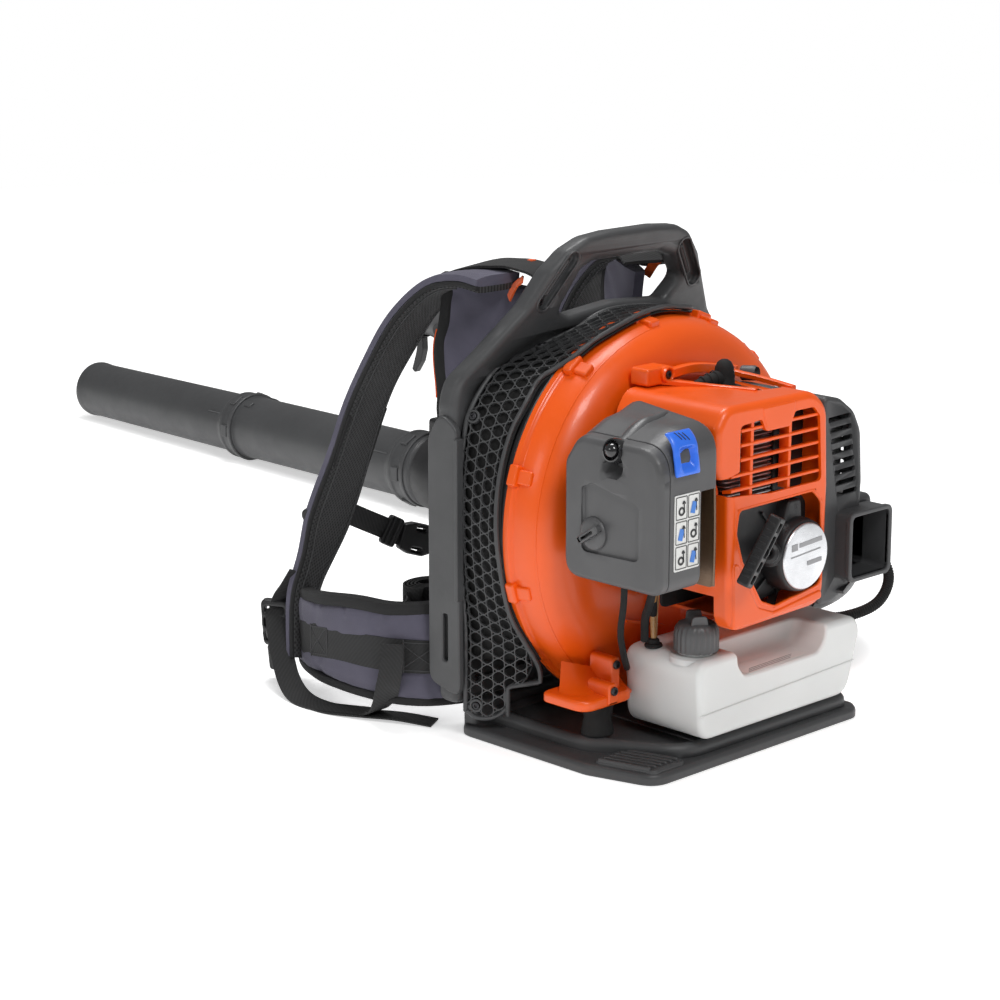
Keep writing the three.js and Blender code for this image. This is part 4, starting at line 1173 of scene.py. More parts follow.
def starter():
    x, z = CRANK
    cup = lathe("cup", [(12, -158), (33.5, -158), (35.4, -157.4), (36.6, -156), (38, -150), (38.6, -138),
            (38.8, -124), (35.3, -124), (35.3, -150),
                        (32, -154.5), (12, -154.5)], (x, 0, z), (0, 1, 0), 96, None, 40, True)
    neck = [(0, 0), (13, 0), (13.5, 3), (11.5, 4), (11.5, 6), (12.2, 7), (12.2, 9), (10, 10.5), (9.6, 13),
            (10.4, 14), (10.4, 16), (7, 18), (4, 18), (3.2, 14), (0, 14)]
    guide = lathe("guide", neck, ROPE_EXIT - PULL * 6, PULL, 36)
    horn = tube("horn", [(26, -138, 208), (12, -141, 210), (0, -145, 212.5)], lambda f: 17 - 4.5 * f, 20,
            28)
    plate_shape = rounded([(-54, 262), (58, 268), (72, 252), (74, 168), (2, 160), (-44, 172), (-56, 216)],
            [10, 10, 12, 10, 12, 10, 12], 5)
    back = bake(plate("back", plate_shape, [], "Y", -132, -126, r=(2, 0), n=3))
    ears = [lathe(f"ear{k}", [(0, 0), (7, 0), (7, 12), (5, 13.5), (0, 13.5)], (px, -130, pz), (0, -1, 0),
            24) for k, (px, pz) in enumerate(((38, 254), (-37, 180), (66, 176)))]
    ribs = [strip(f"r{k}", [(x + 40 * math.cos(a), -131, z + 40 * math.sin(a)),
            (x + 62 * math.cos(a), -131, z + 62 * math.sin(a))], 9, 2.6, (0, 1, 0), 4)
            for k, a in enumerate(math.radians(v) for v in (100, 130, 215, 250))]
    bridge = bake(plate("bridge", rounded([(20, 238), (50, 238), (48, 262), (28, 262)], 6, 4), [], "Y",
            -146, -126, r=(3, 0), n=3))
    ob = join("starter_cup", [cup, guide, horn, back, bridge] + ears + ribs, M["black_plastic"])
    smooth(ob, 40)
    place(ob, "unit", ["starter_housing"])
    for k, (px, pz) in enumerate(((38, 254), (-37, 180), (66, 176))):
        place(screw(f"starter_screw{k}", (px, -143.6, pz), (0, -1, 0), 4.4), "unit")
    disc = lathe("label_disc", [(0, -160.2), (32, -160.2), (33.4, -159.9), (34.2, -159), (34.4, -158.2),
            (0, -158.2)], (x, 0, z), (0, 1, 0), 96, M["label_foil"], 30)
    place(disc, "unit", ["starter_label"])
    bars = [strip(f"l{k}", [(x - 24, -160.5, z + h), (x + 22, -160.5, z + h + 3)], t, 0.3, (0, 0, 1),
            8) for k, (h, t) in enumerate(((2, 1.3),))]
    for k, (a, b, h, t) in enumerate(((-23, -14, 13, 7), (-11, 24, 13.5, 4.6), (2, 24, -8, 4.4))):
        bars.append(strip(f"m{k}", [(x + a, -160.5, z + h + a * 0.06), (x + b, -160.5, z + h + b * 0.06)],
                t, 0.3, (0, 0, 1), 8))
    place(join("label_marks", bars, M["print_grey"]), "unit")
    grip = plate("grip", rounded([(-38, -8.5), (38, -8.5), (38, 8.5), (-38, 8.5)], 3.5, 4), [], "Z", -6.5,
            6.5, r=(2, 2), n=3)
    bake(grip)
    for a, b in ((-33, -23), (-19, 5), (9, 20), (24, 33)):
        boolean(grip, bake(plate("pocket", box_outline(a, b, -4.6, 4.6, 1.5, 3), [], "Z", 2.5, 20,
                r=(0.6, 0), n=2)))
    bevel(grip, 0.5, 2, 40)
    parts = [grip]
    for k in range(9):
        parts.append(block(f"k{k}", (-30 + 7 * k, -8.9, -4), (-27.5 + 7 * k, -8.2, 4), None, 0.3, 2))
    bar = join("bar", parts)
    face = Vector((0.25, -0.9, -0.3))
    orient(bar, GRIP_AT, GRIP_DIR, face)
    stub = lathe("stub", [(4.5, -20), (6, -16), (7.5, -8), (8, -4), (8, 0)], GRIP_AT, PULL, 24)
    ob = join("pull_grip", [bar, stub], M["black_plastic"])
    smooth(ob, 40)
    place(ob, "pull_handle", ["starter_handle"])
    rope = tube("pull_cord", [ROPE_EXIT + PULL * 4, ROPE_EXIT + PULL * 20, ROPE_EXIT + PULL * 45], 1.9, 60,
            10, M["webbing"])
    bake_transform(rope)
    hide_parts("starter_rope")


# ---------------------------------------------------------------- muffler side
def muffler_side():
    outline = rounded([(85, 140), (106, 139), (138, 152), (147, 200), (151, 262), (147, 316), (135, 338),
            (112, 354), (85, 360)],
                      [8, 24, 30, 40, 40, 34, 30, 26, 8], 7)
    ob = bake(plate("mcover", outline, [], "Y", -142, -22, r=(4.5, 3), n=5))
    tools = [bake(plate("in", inset_loop(outline if area_of(outline) > 0 else outline[::-1], 3), [], "Y",
            -139, -25))]
    vents = []
    for i in range(8):
        z = 334 - 11.4 * i
        x0 = 92 + 2.4 * i
        vents.append(bake(plate(f"v{i}", rounded([(x0, z - 3.2), (x0 + 36 - 0.5 * i, z - 2.2),
                (x0 + 36 - 0.5 * i, z + 3.4), (x0, z + 2.4)], 2, 3), [], "Y", -150, -130)))
    tools.append(join("vents", vents))
    side = [bake(plate(f"u{i}", box_outline(-120, -50, 200 + 15 * i, 206 + 15 * i, 2.5, 3), [], "X", 130,
            170)) for i in range(8)]
    tools.append(join("side", side))
    tools.append(bake(plate("duct_in", box_outline(112, 172, 168, 232, 6, 4), [], "Y", -170, -120)))
    cut(ob, *tools)
    bevel(ob, 0.7, 2, 40)
    outer, inner = box_outline(108, 176, 164, 236, 9, 6), box_outline(112, 172, 168, 232, 6, 6)
    duct = bake(plate("duct", outer, [inner], "Y", -162, -70, r=(1.6, 1), n=3))
    lip = bake(plate("duct_lip", box_outline(107, 177, 163, 237, 10, 6), [inner], "Y", -162.6, -157,
            r=(1.4, 1), n=3))
    skirt = bake(plate("duct_root", box_outline(100, 180, 156, 244, 12, 6), [inner], "Y", -134, -100,
            r=(6, 6), n=4))
    fin = strip("duct_web", [(112, -140, 150), (150, -120, 158), (150, -60, 158)], 3, 20, (0, 0, 1), 12)
    ob = join("muffler_guard", [ob, duct, lip, skirt, fin], M["dark_plastic"])
    smooth(ob, 38)
    weigh(ob)
    bake(ob)
    place(ob, "unit", ["muffler_cover"])
    # A near-black plate deep in the duct mouth: painted shade inside the duct.
    back = bake(plate("duct_dark", box_outline(110, 174, 166, 234, 6, 4), [], "Y", -84, -80,
            M["painted_shade"]))
    place(back, "unit")
    can = bake(plate("silencer", rounded([(90, 254), (140, 254), (140, 330), (90, 330)], 12, 6), [], "Y",
            -124, -36, M["steel"], r=5, n=4))
    place(can, "unit", ["muffler"])


# ---------------------------------------------------------------- air filter
def filter_shape(k):
    pts = [(-160 + k, 203 + k), (-32 - k, 203 + k), (-32 - k, 335), (-50, 362 - k), (-160 + k, 362 - k)]
    return rounded(pts, [16, 20, 22, 22, 32], 8)


def filter_fall(x, y, z):
    """The top runs down towards the open side."""
    w = smoothstep(240, 345, z)
    fall = -16 * (1 - smoothstep(-180, -130, x)) + 9 * smoothstep(-130, -96, x) * smoothstep(-150, -60, y)
    return x, y, z + w * fall


def filter_box():
    base = bake(plate("fbase", filter_shape(0), [], "X", -165.4, -96, r=(0.8, 7), n=5))
    cut(base,
        block("c2", (-121, -180, 190), (-80, -20, 299)),
        block("c3", (-160, -150, 320), (-132, -128, 330)))
    slice_along(base, "X", [-160, -150, -140, -130, -120, -110, -100])
    slice_along(base, "Z", [260, 280, 300, 320, 340])
    bevel(base, 1.2, 2, 40)
    bend(base, filter_fall)
    parts = [base, bake(plate("shelf", box_outline(-164, -100, 301, 307, 2.5, 3), [], "Y", -159, -140,
            r=(2, 0), n=3))]
    parts.append(bend(tube("fairing", [(-166, -98, 349), (-150, -98, 354), (-128, -99, 358),
            (-104, -100, 361)], lambda f: 12.5 * (1 - f) ** 0.6 + 0.5, 30, 28),
                      filter_fall))
    parts.append(bake(plate("carb_box", rounded([(-112, 190), (-82, 190), (-82, 250), (-112, 250)], 5, 4),
            [], "Y", -120, -60, r=3, n=3)))
    ob = join("filter_base", parts, M["mid_plastic"])
    smooth(ob, 40)
    weigh(ob)
    bake(ob)
    place(ob, "unit", ["air_filter_base"])
    # A near-black ring in the narrow gap between lid and base: painted shade in the seam.
    gap = bake(plate("filter_seam", filter_shape(1.6), [filter_shape(9)[::-1]], "X", -166.1, -165.5,
            M["painted_shade"], r=0.2))
    slice_along(gap, "Z", [260, 280, 300, 320, 340])
    bend(gap, filter_fall)
    place(gap, "unit")
    lid = bake(plate("flid", filter_shape(0), [], "X", -179, -166.2, r=(6, 0.8), n=6))
    pocket = rounded([(-57, 232), (-57, 308), (-72, 316), (-133, 300), (-133, 234)], [8, 6, 6, 8, 8], 5)
    bulb_seat = lathe("seat", [(0, 0), (15, 0), (12, 16), (0, 16)], (-184, -98, 338), (1, 0, 0.4), 36)
    cut(lid, bake(plate("p1", pocket, [], "X", -190, -175.5, r=(0, 2), n=3)), bulb_seat)
    slice_along(lid, "Z", [225, 240, 260, 280, 300, 310, 320, 330, 340, 350])
    slice_along(lid, "Y", [-140, -120, -100, -80, -60])
    bend(lid, filter_fall)
    bend(lid, lambda x, y, z: (x - (2.5 * math.sin(math.pi * min(1,
            max(0, (y + 160) / 128))) * math.sin(math.pi * min(1,
            max(0, (z - 203) / 150))) if x < -172 else 0), y, z))
    ob = join("filter_lid", [lid], M["mid_plastic"])
    smooth(ob, 40)
    weigh(ob)
    bake(ob)
    place(ob, "filter_lid", ["air_filter_cover"])
    knob = lathe("knob", [(0, 3.5), (9, 4.2), (13.4, 3.6), (15.6, 2.4), (16.6, 0.6), (16.6, -3), (0, -3)],
            (-178.4, -72, 252), (-1, 0, 0), 64)
    wing = bake(plate("wing", rounded([(-15, -4), (15, -4), (15, 4), (-15, 4)], 2.5, 4),
            [box_outline(-10, 8, -1.2, 1.2, 1.1, 3)], "Z", 0, 9, r=(0, 1.4), n=3))
    orient(wing, (-179.5, -72, 252), (0, -0.84, 0.55), (-1, 0, 0))
    ob = join("lid_knob", [knob, wing], M["mid_plastic"])
    smooth(ob, 40)
    place(ob, "lid_knob", ["cover_knob"])
    seat = lathe("knob_seat", [(17.2, -1), (17.8, 0.4), (19, 0.4), (19.4, -2)], (-175.6, -72, 252),
            (-1, 0, 0), 64, M["dark_plastic"])
    place(seat, "filter_lid")
    collar = lathe("c", [(9.2, 0), (9.2, 5), (10.2, 6.5), (11.6, 6), (12.4, 3.5), (12.4, -4), (9.2, -4)],
            (-176, -98, 338), (-1, 0, 0.25), 40, None, 40, True)
    dome = lathe("d", [(7.8, -0.5), (7.8, 3), (7.4, 6.5), (5.6, 9.6), (3, 11), (0, 11.5)], (-176, -98, 338),
            (-1, 0, 0.25), 40)
    collar.name = "primer_collar"
    for ob in (collar, dome):
        ob.data.materials.append(M["glossy_black"])
        smooth(ob, 40)
    place(collar, "filter_lid")
    dome.name = "primer_bulb"
    place(dome, "primer", ["purge_bulb"])


def choke():
    cy, cz = -138, 340
    across = [-163 + 34 * k / 16 for k in range(17)]
    verts, faces = [], []
    rows = []
    for k in range(21):
        d = math.radians(118 + 62 * k / 20)
        rows.append((d, 0))
    path = [(cy + 26 * math.cos(d), cz + 26 * math.sin(d), math.cos(d), math.sin(d)) for d, _ in rows]
    path += [(cy - 26.4 - 0.6 * k, cz - 4 * k, -1, 0.05) for k in range(1, 6)]
    n, m = len(path), len(across)
    for layer in (0, 1):
        for i, (y, z, ny, nz) in enumerate(path):
            for j, x in enumerate(across):
                fx, fy = j / (m - 1), i / (n - 1)
                edge = min(fx, 1 - fx, fy * 1.4, (1 - fy) * 1.4)
                drop = 1.6 * (1 - smoothstep(0, 0.12, edge))
                hollow = smoothstep(0.56, 0.64, fy) * (1 - smoothstep(0.88, 0.95, fy)) * smoothstep(0.2,
                        0.32, fx) * (1 - smoothstep(0.72, 0.84, fx))
                lift = (-drop - 7 * hollow) if layer == 0 else -4.6
                if layer and hollow:
                    lift = min(lift, -7 * hollow - 1.5)
                verts.append((x, y + ny * lift, z + nz * lift))
    base = n * m
    for i in range(n - 1):
        for j in range(m - 1):
            a = i * m + j
            faces.append((a, a + 1, a + m + 1, a + m))
            faces.append((base + a, base + a + m, base + a + m + 1, base + a + 1))
    rim = [j for j in range(m)] + [i * m + m - 1 for i in range(1,
            n)] + [(n - 1) * m + j for j in range(m - 2, -1, -1)] + [i * m for i in range(n - 2, 0, -1)]
    for a, b in zip(rim, rim[1:] + rim[:1]):
        faces.append((a, b, base + b, base + a))
    ob = make("choke_tab", verts, faces, M["blue_plastic"], 50)
    sub = ob.modifiers.new("sub", "SUBSURF")
    sub.levels = sub.render_levels = 1
    bake(ob)
    place(ob, "choke", ["choke_lever"])
    marks = []
    for k, off in enumerate((-5, 0, 5)):
        line = []
        for i in range(5):
            d = math.radians(128 + 5 * i + off * 0.4)
            line.append((-150 + off + 1.2 * i, cy + 26.3 * math.cos(d), cz + 26.3 * math.sin(d)))
        marks.append(tube(f"mark{k}", line, 0.45, 12, 6))
    place(join("choke_marks", marks, M["print_dark"]), "choke")


def label_and_shield():
    parts = [bake(plate("sheet", box_outline(-160, -124, 226, 301, 2, 3), [], "Y", -160.9, -159.8,
            M["print_white"], r=0.3, n=2))]
    place(parts[0], "unit")
    cells = []
    blue = []
    for i in range(3):
        for j in range(2):
            x0, z0 = -158.5 + j * 17.4, 228 + i * 24.4
            cells.append(plate(f"cell{i}{j}", box_outline(x0, x0 + 16, z0, z0 + 22.6, 1, 2),
                    [box_outline(x0 + 0.7, x0 + 15.3, z0 + 0.7, z0 + 21.9, 0.6, 2)], "Y", -161.3, -160.7,
                    r=0))
            cx, cz = x0 + 8, z0 + 10
            if (i + j) % 2:
                blue.append(strip(f"b{i}{j}", [(cx - 2, -161.4, cz - 6), (cx + 1, -161.4, cz + 5)], 6, 0.4,
                        (1, 0, 0), 4))
            else:
                cells.append(lathe(f"o{i}{j}", [(2.4, 0), (4.4, 0), (4.4, 0.5), (2.4, 0.5)],
                        (cx, -160.9, cz - 2), (0, -1, 0), 20))
            cells.append(strip(f"a{i}{j}", [(cx + 4, -161.4, cz - 4), (cx + 3, -161.4, cz + 7)], 1, 0.4,
                    (1, 0, 0), 4))
            cells.append(strip(f"h{i}{j}", [(cx + 1.2, -161.4, cz + 5), (cx + 3, -161.4, cz + 8),
                    (cx + 5, -161.4, cz + 5)], 1.2, 0.4, (0, 0, 1), 6))
    place(join("label_frames", [bake(c) for c in cells], M["print_dark"]), "unit")
    place(join("label_blocks", blue, M["print_blue"]), "unit")
    sheet = bake(plate("heat_plate", rounded([(-152, 196), (-58, 196), (-58, 302), (-152, 302)],
            [6, 6, 10, 10], 5), [], "X", -93.2, -91.6, M["shield"], r=0.5, n=2))
    hem = tube("hem", [(-92.4, -152, 198), (-92.4, -152.4, 250), (-92.4, -151, 300)], 1.5, 30, 8)
    ob = join("heat_plate", [sheet, hem], M["shield"])
    place(ob, "unit", ["heat_shield"])


M["glossy_black"] = moulded("glossy_black", (0.012, 0.012, 0.013), 0.16, 900, 0.00003, 0.06, coat=0.5)
engine_cover()
cylinder_fins()
spark_boot()
starter()
muffler_side()
filter_box()
choke()
label_and_shield()


# ---------------------------------------------------------------- fuel tank and cap
def fuel_tank():
    outline = rounded([(-85, 30), (148, 30), (168, 98), (158, 113), (-90, 113)], [20, 22, 20, 16, 18], 7)
    ob = bake(plate("tank", outline, [], "Y", -134, -30, r=(7, 8), n=6))
    scoop = rounded([(-34, 150), (-30, 100), (-20, 86), (98, 86), (108, 98), (116, 150)],
            [4, 16, 16, 16, 16, 4], 6)
    cut(ob, bake(plate("scoop", scoop, [], "Y", -170, -92, r=(0, 9), n=4)))
    neck = lathe("neck", [(0, -8), (17, -8), (20, -4), (18, -1), (18, 6), (15, 7), (15, -2), (0, -2)],
            (-60, -103, 114), (0, 0, 1), 48)
    bevel(ob, 3.4, 4, 50)
    seam_pts = [(-89, -134.3, 58), (40, -134.5, 62), (157, -134.3, 66)]
    seam = tube("seam", seam_pts, 0.55, 20, 8)
    fillet = lathe("pad", [(0, -6), (29, -6), (27, -1), (24, 0.6), (0, 0.8)], (-60, -103, 112.4), (0, 0, 1),
            48)
    ob = join("tank_body", [ob, neck, seam, fillet], M["tank_plastic"])
    smooth(ob, 42)
    weigh(ob)
    bake(ob)
    place(ob, "unit", ["fuel_tank"])
    note = strip("tank_note", [(-14, -126, 86.6), (44, -124, 86.7), (84, -122, 86.8)], 13, 0.4, (0, 1, 0),
            16, M["print_white"])
    place(note, "unit")
    rows = [strip(f"n{k}", [(-8 + 4 * k, -129 + 3.4 * k, 87.1), (60 + 5 * k, -126.6 + 3.4 * k, 87.2)], 0.8,
            0.3, (0, 1, 0), 10) for k in range(3)]
    place(join("tank_note_lines", rows, M["print_grey"]), "unit")


def fuel_cap():
    verts, faces = [], []
    seg = 144
    levels = [(19.2, 2, 0), (21.8, 2.2, 0.6), (22.3, 4, 1), (22.2, 20, 1), (21.4, 24.5, 1),
            (20.4, 27.5, 0.3), (18.6, 30, 0), (15, 31.4, 0), (8, 32.2, 0)]
    for r, h, k in levels:
        for i in range(seg):
            a = 2 * math.pi * i / seg
            wave = 0.75 * k * (1 if (i % 6) < 3 else -0.35)
            verts.append((-60 + (r + wave) * math.cos(a), -103 + (r + wave) * math.sin(a), 114 + h))
    for j in range(len(levels) - 1):
        for i in range(seg):
            m = (i + 1) % seg
            faces.append((j * seg + i, j * seg + m, (j + 1) * seg + m, (j + 1) * seg + i))
    faces.append(tuple(range(seg))[::-1])
    faces.append(tuple(range((len(levels) - 1) * seg, len(levels) * seg)))
    body = make("cap", verts, faces, None, 30)
    parts = [body]
    for k, s in enumerate((-1, 1)):
        wing = rounded([(-9, 143), (9, 143), (7.4, 154), (-7.4, 154)], [1, 1, 3.4, 3.4], 4)
        w = bake(plate(f"wing{k}", wing, [], "Y", -2, 2, r=1.4, n=3))
        m = Matrix.Rotation(math.radians(-35), 4, "Z")
        bend(w, lambda x, y, z, s=s: tuple(Vector((-60, -103, 0)) + m @ Vector((x,
                y + s * 12 + (z - 143) * 0.1 * s, z))))
        parts.append(w)
    parts.append(lathe("hub", [(0, 31), (5, 31.5), (4.6, 34), (2, 34.4), (1.6, 33), (0, 33)],
            (-60, -103, 114), (0, 0, 1), 28))
    ob = join("tank_cap", parts, M["mid_plastic"])
    smooth(ob, 32)
    place(ob, "tank_cap", ["fuel_cap"])


def lines():
    grommet = lathe("grommet", [(0, 0), (9, 0), (9.4, 2), (8.4, 3.6), (6.4, 4.4), (5.6, 8), (3.4, 9.4),
            (0, 9.4)], (-74, -58, 112.4), (0, 0, 1), 32, M["rubber"])
    place(grommet, "unit", ["tank_grommet"])
    fuel = []
    for k, (dx, dy) in enumerate(((0, 0), (7, 3))):
        fuel.append(tube(f"line{k}", [(-74 + dx * 0.3, -58 + dy * 0.3, 120), (-80 + dx, -62 + dy, 150),
                (-88 + dx, -70 + dy, 178), (-86 + dx, -58 + dy, 214), (-84, -50, 236)], 2.9, 60, 14))
    ob = join("fuel_lines", fuel, M["fuel_hose"])
    smooth(ob, 60)
    place(ob, "unit", ["fuel_line"])
    sleeves = [tube("sleeve", [(-80, -62, 148), (-84, -66, 164), (-88, -70, 180)], 4.2, 16, 14),
               tube("breather", [(-146, -84, 206), (-145, -82, 176), (-136, -70, 142), (-116, -56, 112),
                       (-98, -44, 92)], 3.4, 60, 14),
               tube("vent", [(-118, -96, 204), (-116, -94, 188), (-110, -84, 168), (-100, -70, 150),
                       (-92, -62, 124)], 4.2, 50, 14)]
    ob = join("breather_tubes", sleeves, M["rubber"])
    smooth(ob, 60)
    place(ob, "unit")


# ---------------------------------------------------------------- air path
YAW = Vector((410, 232, 78))
PITCH = Vector((436, 322, 66))
TUBE_START = Vector((452, 412, 58))
TUBE_TIP = Vector((512, 1677, 44))
TUBE_DIR = (TUBE_TIP - TUBE_START).normalized()


def ribbed(name, points, mean, swing, pitch, seg=48, mat=None, per=6):
    _, total = curve_points(points, 40)
    n = max(8, int(total / pitch * per))
    return tube(name, points, lambda f: mean + swing * math.cos(2 * math.pi * f * total / pitch), n, seg,
            mat, False)


def air_path():
    path = [(246, 50, 105), (270, 50, 105), (300, 50.5, 105), (352, 78, 97), (382, 126, 88), (394, 160, 83)]
    body = tube("elbow_pipe", path, lambda f: 51.5 + 1.4 * (f < 0.06) + 1.4 * (f > 0.94), 90, 64, None,
            False)
    bands = [lathe(f"band{k}", [(51, 0), (54.4, 0.6), (54.4, 7.4), (51, 8)], p, d, 64) for k,
            (p, d) in enumerate((((258, 50, 105), (1, 0, 0)), ((388, 146, 84.6), (0.32, 0.92, -0.13))))]
    lug = bake(plate("lug", box_outline(-9, 9, -6, 6, 3, 4), [], "Z", 0, 7, r=(0, 2), n=3))
    orient(lug, (262, 50, 158), (1, 0, 0))
    ob = join("elbow_duct", [body, lug] + bands, M["black_plastic"])
    smooth(ob, 45)
    place(ob, "unit", ["elbow"])
    mid = YAW.lerp(PITCH, 0.5)
    first = ribbed("bellows_a", [(392, 152, 84), (396, 165, 82), tuple(YAW), tuple(mid)], 53, 2.6, 9.5)
    first.data.materials.append(M["rubber"])
    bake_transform(first)
    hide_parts("hose_rear")
    second = ribbed("bellows_b", [tuple(mid), tuple(PITCH), tuple(PITCH.lerp(TUBE_START, 0.6)),
            tuple(TUBE_START)], 53, 2.6, 9.5)
    second.data.materials.append(M["rubber"])
    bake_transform(second)
    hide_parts("hose_mid", "hose_front")
    clampband = lathe("hose_clamp", [(50, -6), (56.6, -6), (57.2, -5), (57.2, 5), (56.6, 6), (50, 6)],
            TUBE_START - TUBE_DIR * 2, TUBE_DIR, 72, M["black_plastic"])
    place(clampband, "blow_tube")


def pipe(name, s0, profile, body, cad, lugs=()):
    shell = lathe(name, profile, TUBE_START + TUBE_DIR * s0, TUBE_DIR, 96, None, 40, True)
    parts = [shell]
    side = TUBE_DIR.cross(Vector((0, 0, 1))).normalized()
    up = side.cross(TUBE_DIR)
    for k, (s, r, deg, length, width, height) in enumerate(lugs):
        a = math.radians(deg)
        out = side * math.cos(a) + up * math.sin(a)
        pad = bake(plate(f"pad{k}", rounded([(-length / 2, -width / 2), (length / 2, -width / 2),
                (length / 2, width / 2), (-length / 2, width / 2)], 2.4, 4),
                         [], "Z", -2, height, r=(0, 1.4), n=3))
        orient(pad, TUBE_START + TUBE_DIR * s + out * r, TUBE_DIR, out)
        parts.append(pad)
    ob = join(name, parts, M["dark_plastic"])
    smooth(ob, 40)
    weigh(ob)
    bake(ob)
    place(ob, body, cad)


def blow_tubes():
    pipe("tube_control", 0, [(44.5, 0), (49, 0), (49, 12), (47, 15), (47, 400), (47.2, 436), (49.5, 438),
            (50.5, 440), (50.5, 447), (49, 449), (47.4, 450), (47.4, 466), (46, 470), (44.5, 470)],
         "blow_tube", ["control_tube"], [(454, 47, a, 12, 16, 3.4) for a in (150, 30, 90, 210)])
    pipe("tube_middle", 446, [(48.2, 0), (51.8, 0), (52.8, 1.2), (52.8, 7), (51, 8.4), (50.6, 10),
            (50.6, 24), (52, 25.4), (52, 31), (50.2, 33), (47, 40), (45.6, 48), (45.6, 396), (47, 398),
            (47, 402),
                            (45.6, 404), (45.6, 424), (43, 424), (43, 40), (47.2, 32)],
         "blow_tube", ["intermediate_tube"], [(446 + 16, 50.4, a, 14, 20, 3.2) for a in (60, 120, 180, 0,
                 240)] + [(446 + 60, 45.4, 150, 34, 3, 1.6), (446 + 385, 45.4, 120, 16, 10, 2.6),
                 (446 + 385, 45.4, 60, 16, 10, 2.6)])
    pipe("tube_nozzle", 846, [(46.4, 0), (49.6, 0), (50.6, 1.2), (50.6, 6), (48.8, 7.6), (48.2, 9),
            (48.2, 20), (49.4, 21.4), (49.4, 26), (47.6, 28), (44.6, 34), (43.4, 42), (41.6, 404),
            (42.6, 408),
                            (43, 416), (42.4, 419), (40.6, 419), (39, 414), (40.6, 40), (45.4, 28)],
         "nozzle", ["nozzle_tube"], [(846 + 14, 48, a, 13, 18, 3) for a in (60, 120, 180, 0)] + [(846 + 52,
                 43, 150, 30, 3, 1.6)])


CLAMP = TUBE_START + TUBE_DIR * 409
C = Vector((471.4, 820.5, 53.5))


def control_grip():
    ring = lathe("ring", [(47.4, -20), (51.4, -20), (52.6, -18), (52.6, 18), (51.4, 20), (47.4, 20)], CLAMP,
            TUBE_DIR, 96, None, 40, True)
    ears = bake(plate("ears", box_outline(-18, 18, 96, 128, 6, 5), [], "Y", C.y - 20, C.y + 20, r=3, n=3))
    bend(ears, lambda x, y, z: (x + C.x, y, z + 4))
    knob = lathe("knob", [(0, 0), (9, 0), (12, 2), (12, 10), (10, 12), (0, 12)], (C.x + 16, C.y, 116),
            (1, 0, 0), 32)
    post = tube("post", [(C.x, C.y, 98), (C.x, C.y - 2, 150), (C.x, C.y - 8, 205), (C.x, C.y - 14, 240)],
            lambda f: 13 + 3 * math.cos(f * 5), 30, 28)
    ob = join("handle_mount", [ring, ears, knob], M["black_plastic"])
    smooth(ob, 40)
    place(ob, "hand_grip", ["handle_clamp"])
    head = tube("head", [(C.x, C.y - 38, 250), (C.x, C.y - 20, 257), (C.x, C.y + 10, 260),
            (C.x, C.y + 44, 260)], lambda f: 17 + 5 * math.sin(math.pi * min(1, f * 1.2)), 40, 36)
    grip = tube("sleeve", [(C.x, C.y + 42, 260), (C.x, C.y + 66, 259), (C.x, C.y + 92, 257)],
            lambda f: 18.5 * (1 - max(0, f - 0.85) * 2.4) + 0.7 * math.cos(f * 60), 80, 36)
    for a in (head, grip):
        smooth(a, 60)
    body = join("grip_body", [head, post], M["mid_plastic"])
    smooth(body, 50)
    place(body, "hand_grip", ["control_handle"])
    grip.data.materials.append(M["rubber"])
    grip.name = "grip_sleeve"
    place(grip, "hand_grip")
    seam = lathe("grip_seam", [(19.4, 0), (20.4, 1.6), (20.4, 4.4), (19.4, 6)], (C.x, C.y + 38, 260),
            (0, 1, 0), 48, M["black_plastic"])
    place(seam, "hand_grip")
    for k, dy in enumerate((-24, 0, 24)):
        place(screw(f"grip_screw{k}", (C.x - 20, C.y + dy, 258), (-1, 0, 0), 3.6), "hand_grip")


def from_cad(name, node_name, mat, width, body, seg=3):
    """A finer stand-in for a CAD node: the same form with its edges turned."""
    src = frame["nodes"][node_name]
    bm = bmesh.new()
    bm.from_mesh(src.data)
    bmesh.ops.remove_doubles(bm, verts=bm.verts, dist=1e-5)
    bmesh.ops.dissolve_limit(bm, angle_limit=math.radians(1), verts=bm.verts, edges=bm.edges)
    me = bpy.data.meshes.new(name)
    verts = [v.co / MM for v in bm.verts]
    bm.verts.index_update()
    faces = [tuple(v.index for v in f.verts) for f in bm.faces]
    bm.free()
    bpy.data.meshes.remove(me)
    ob = make(name, verts, faces, mat, 40)
    bevel(ob, width, seg, 30)
    weigh(ob)
    bake(ob)
    place(ob, body, [node_name])
    return ob


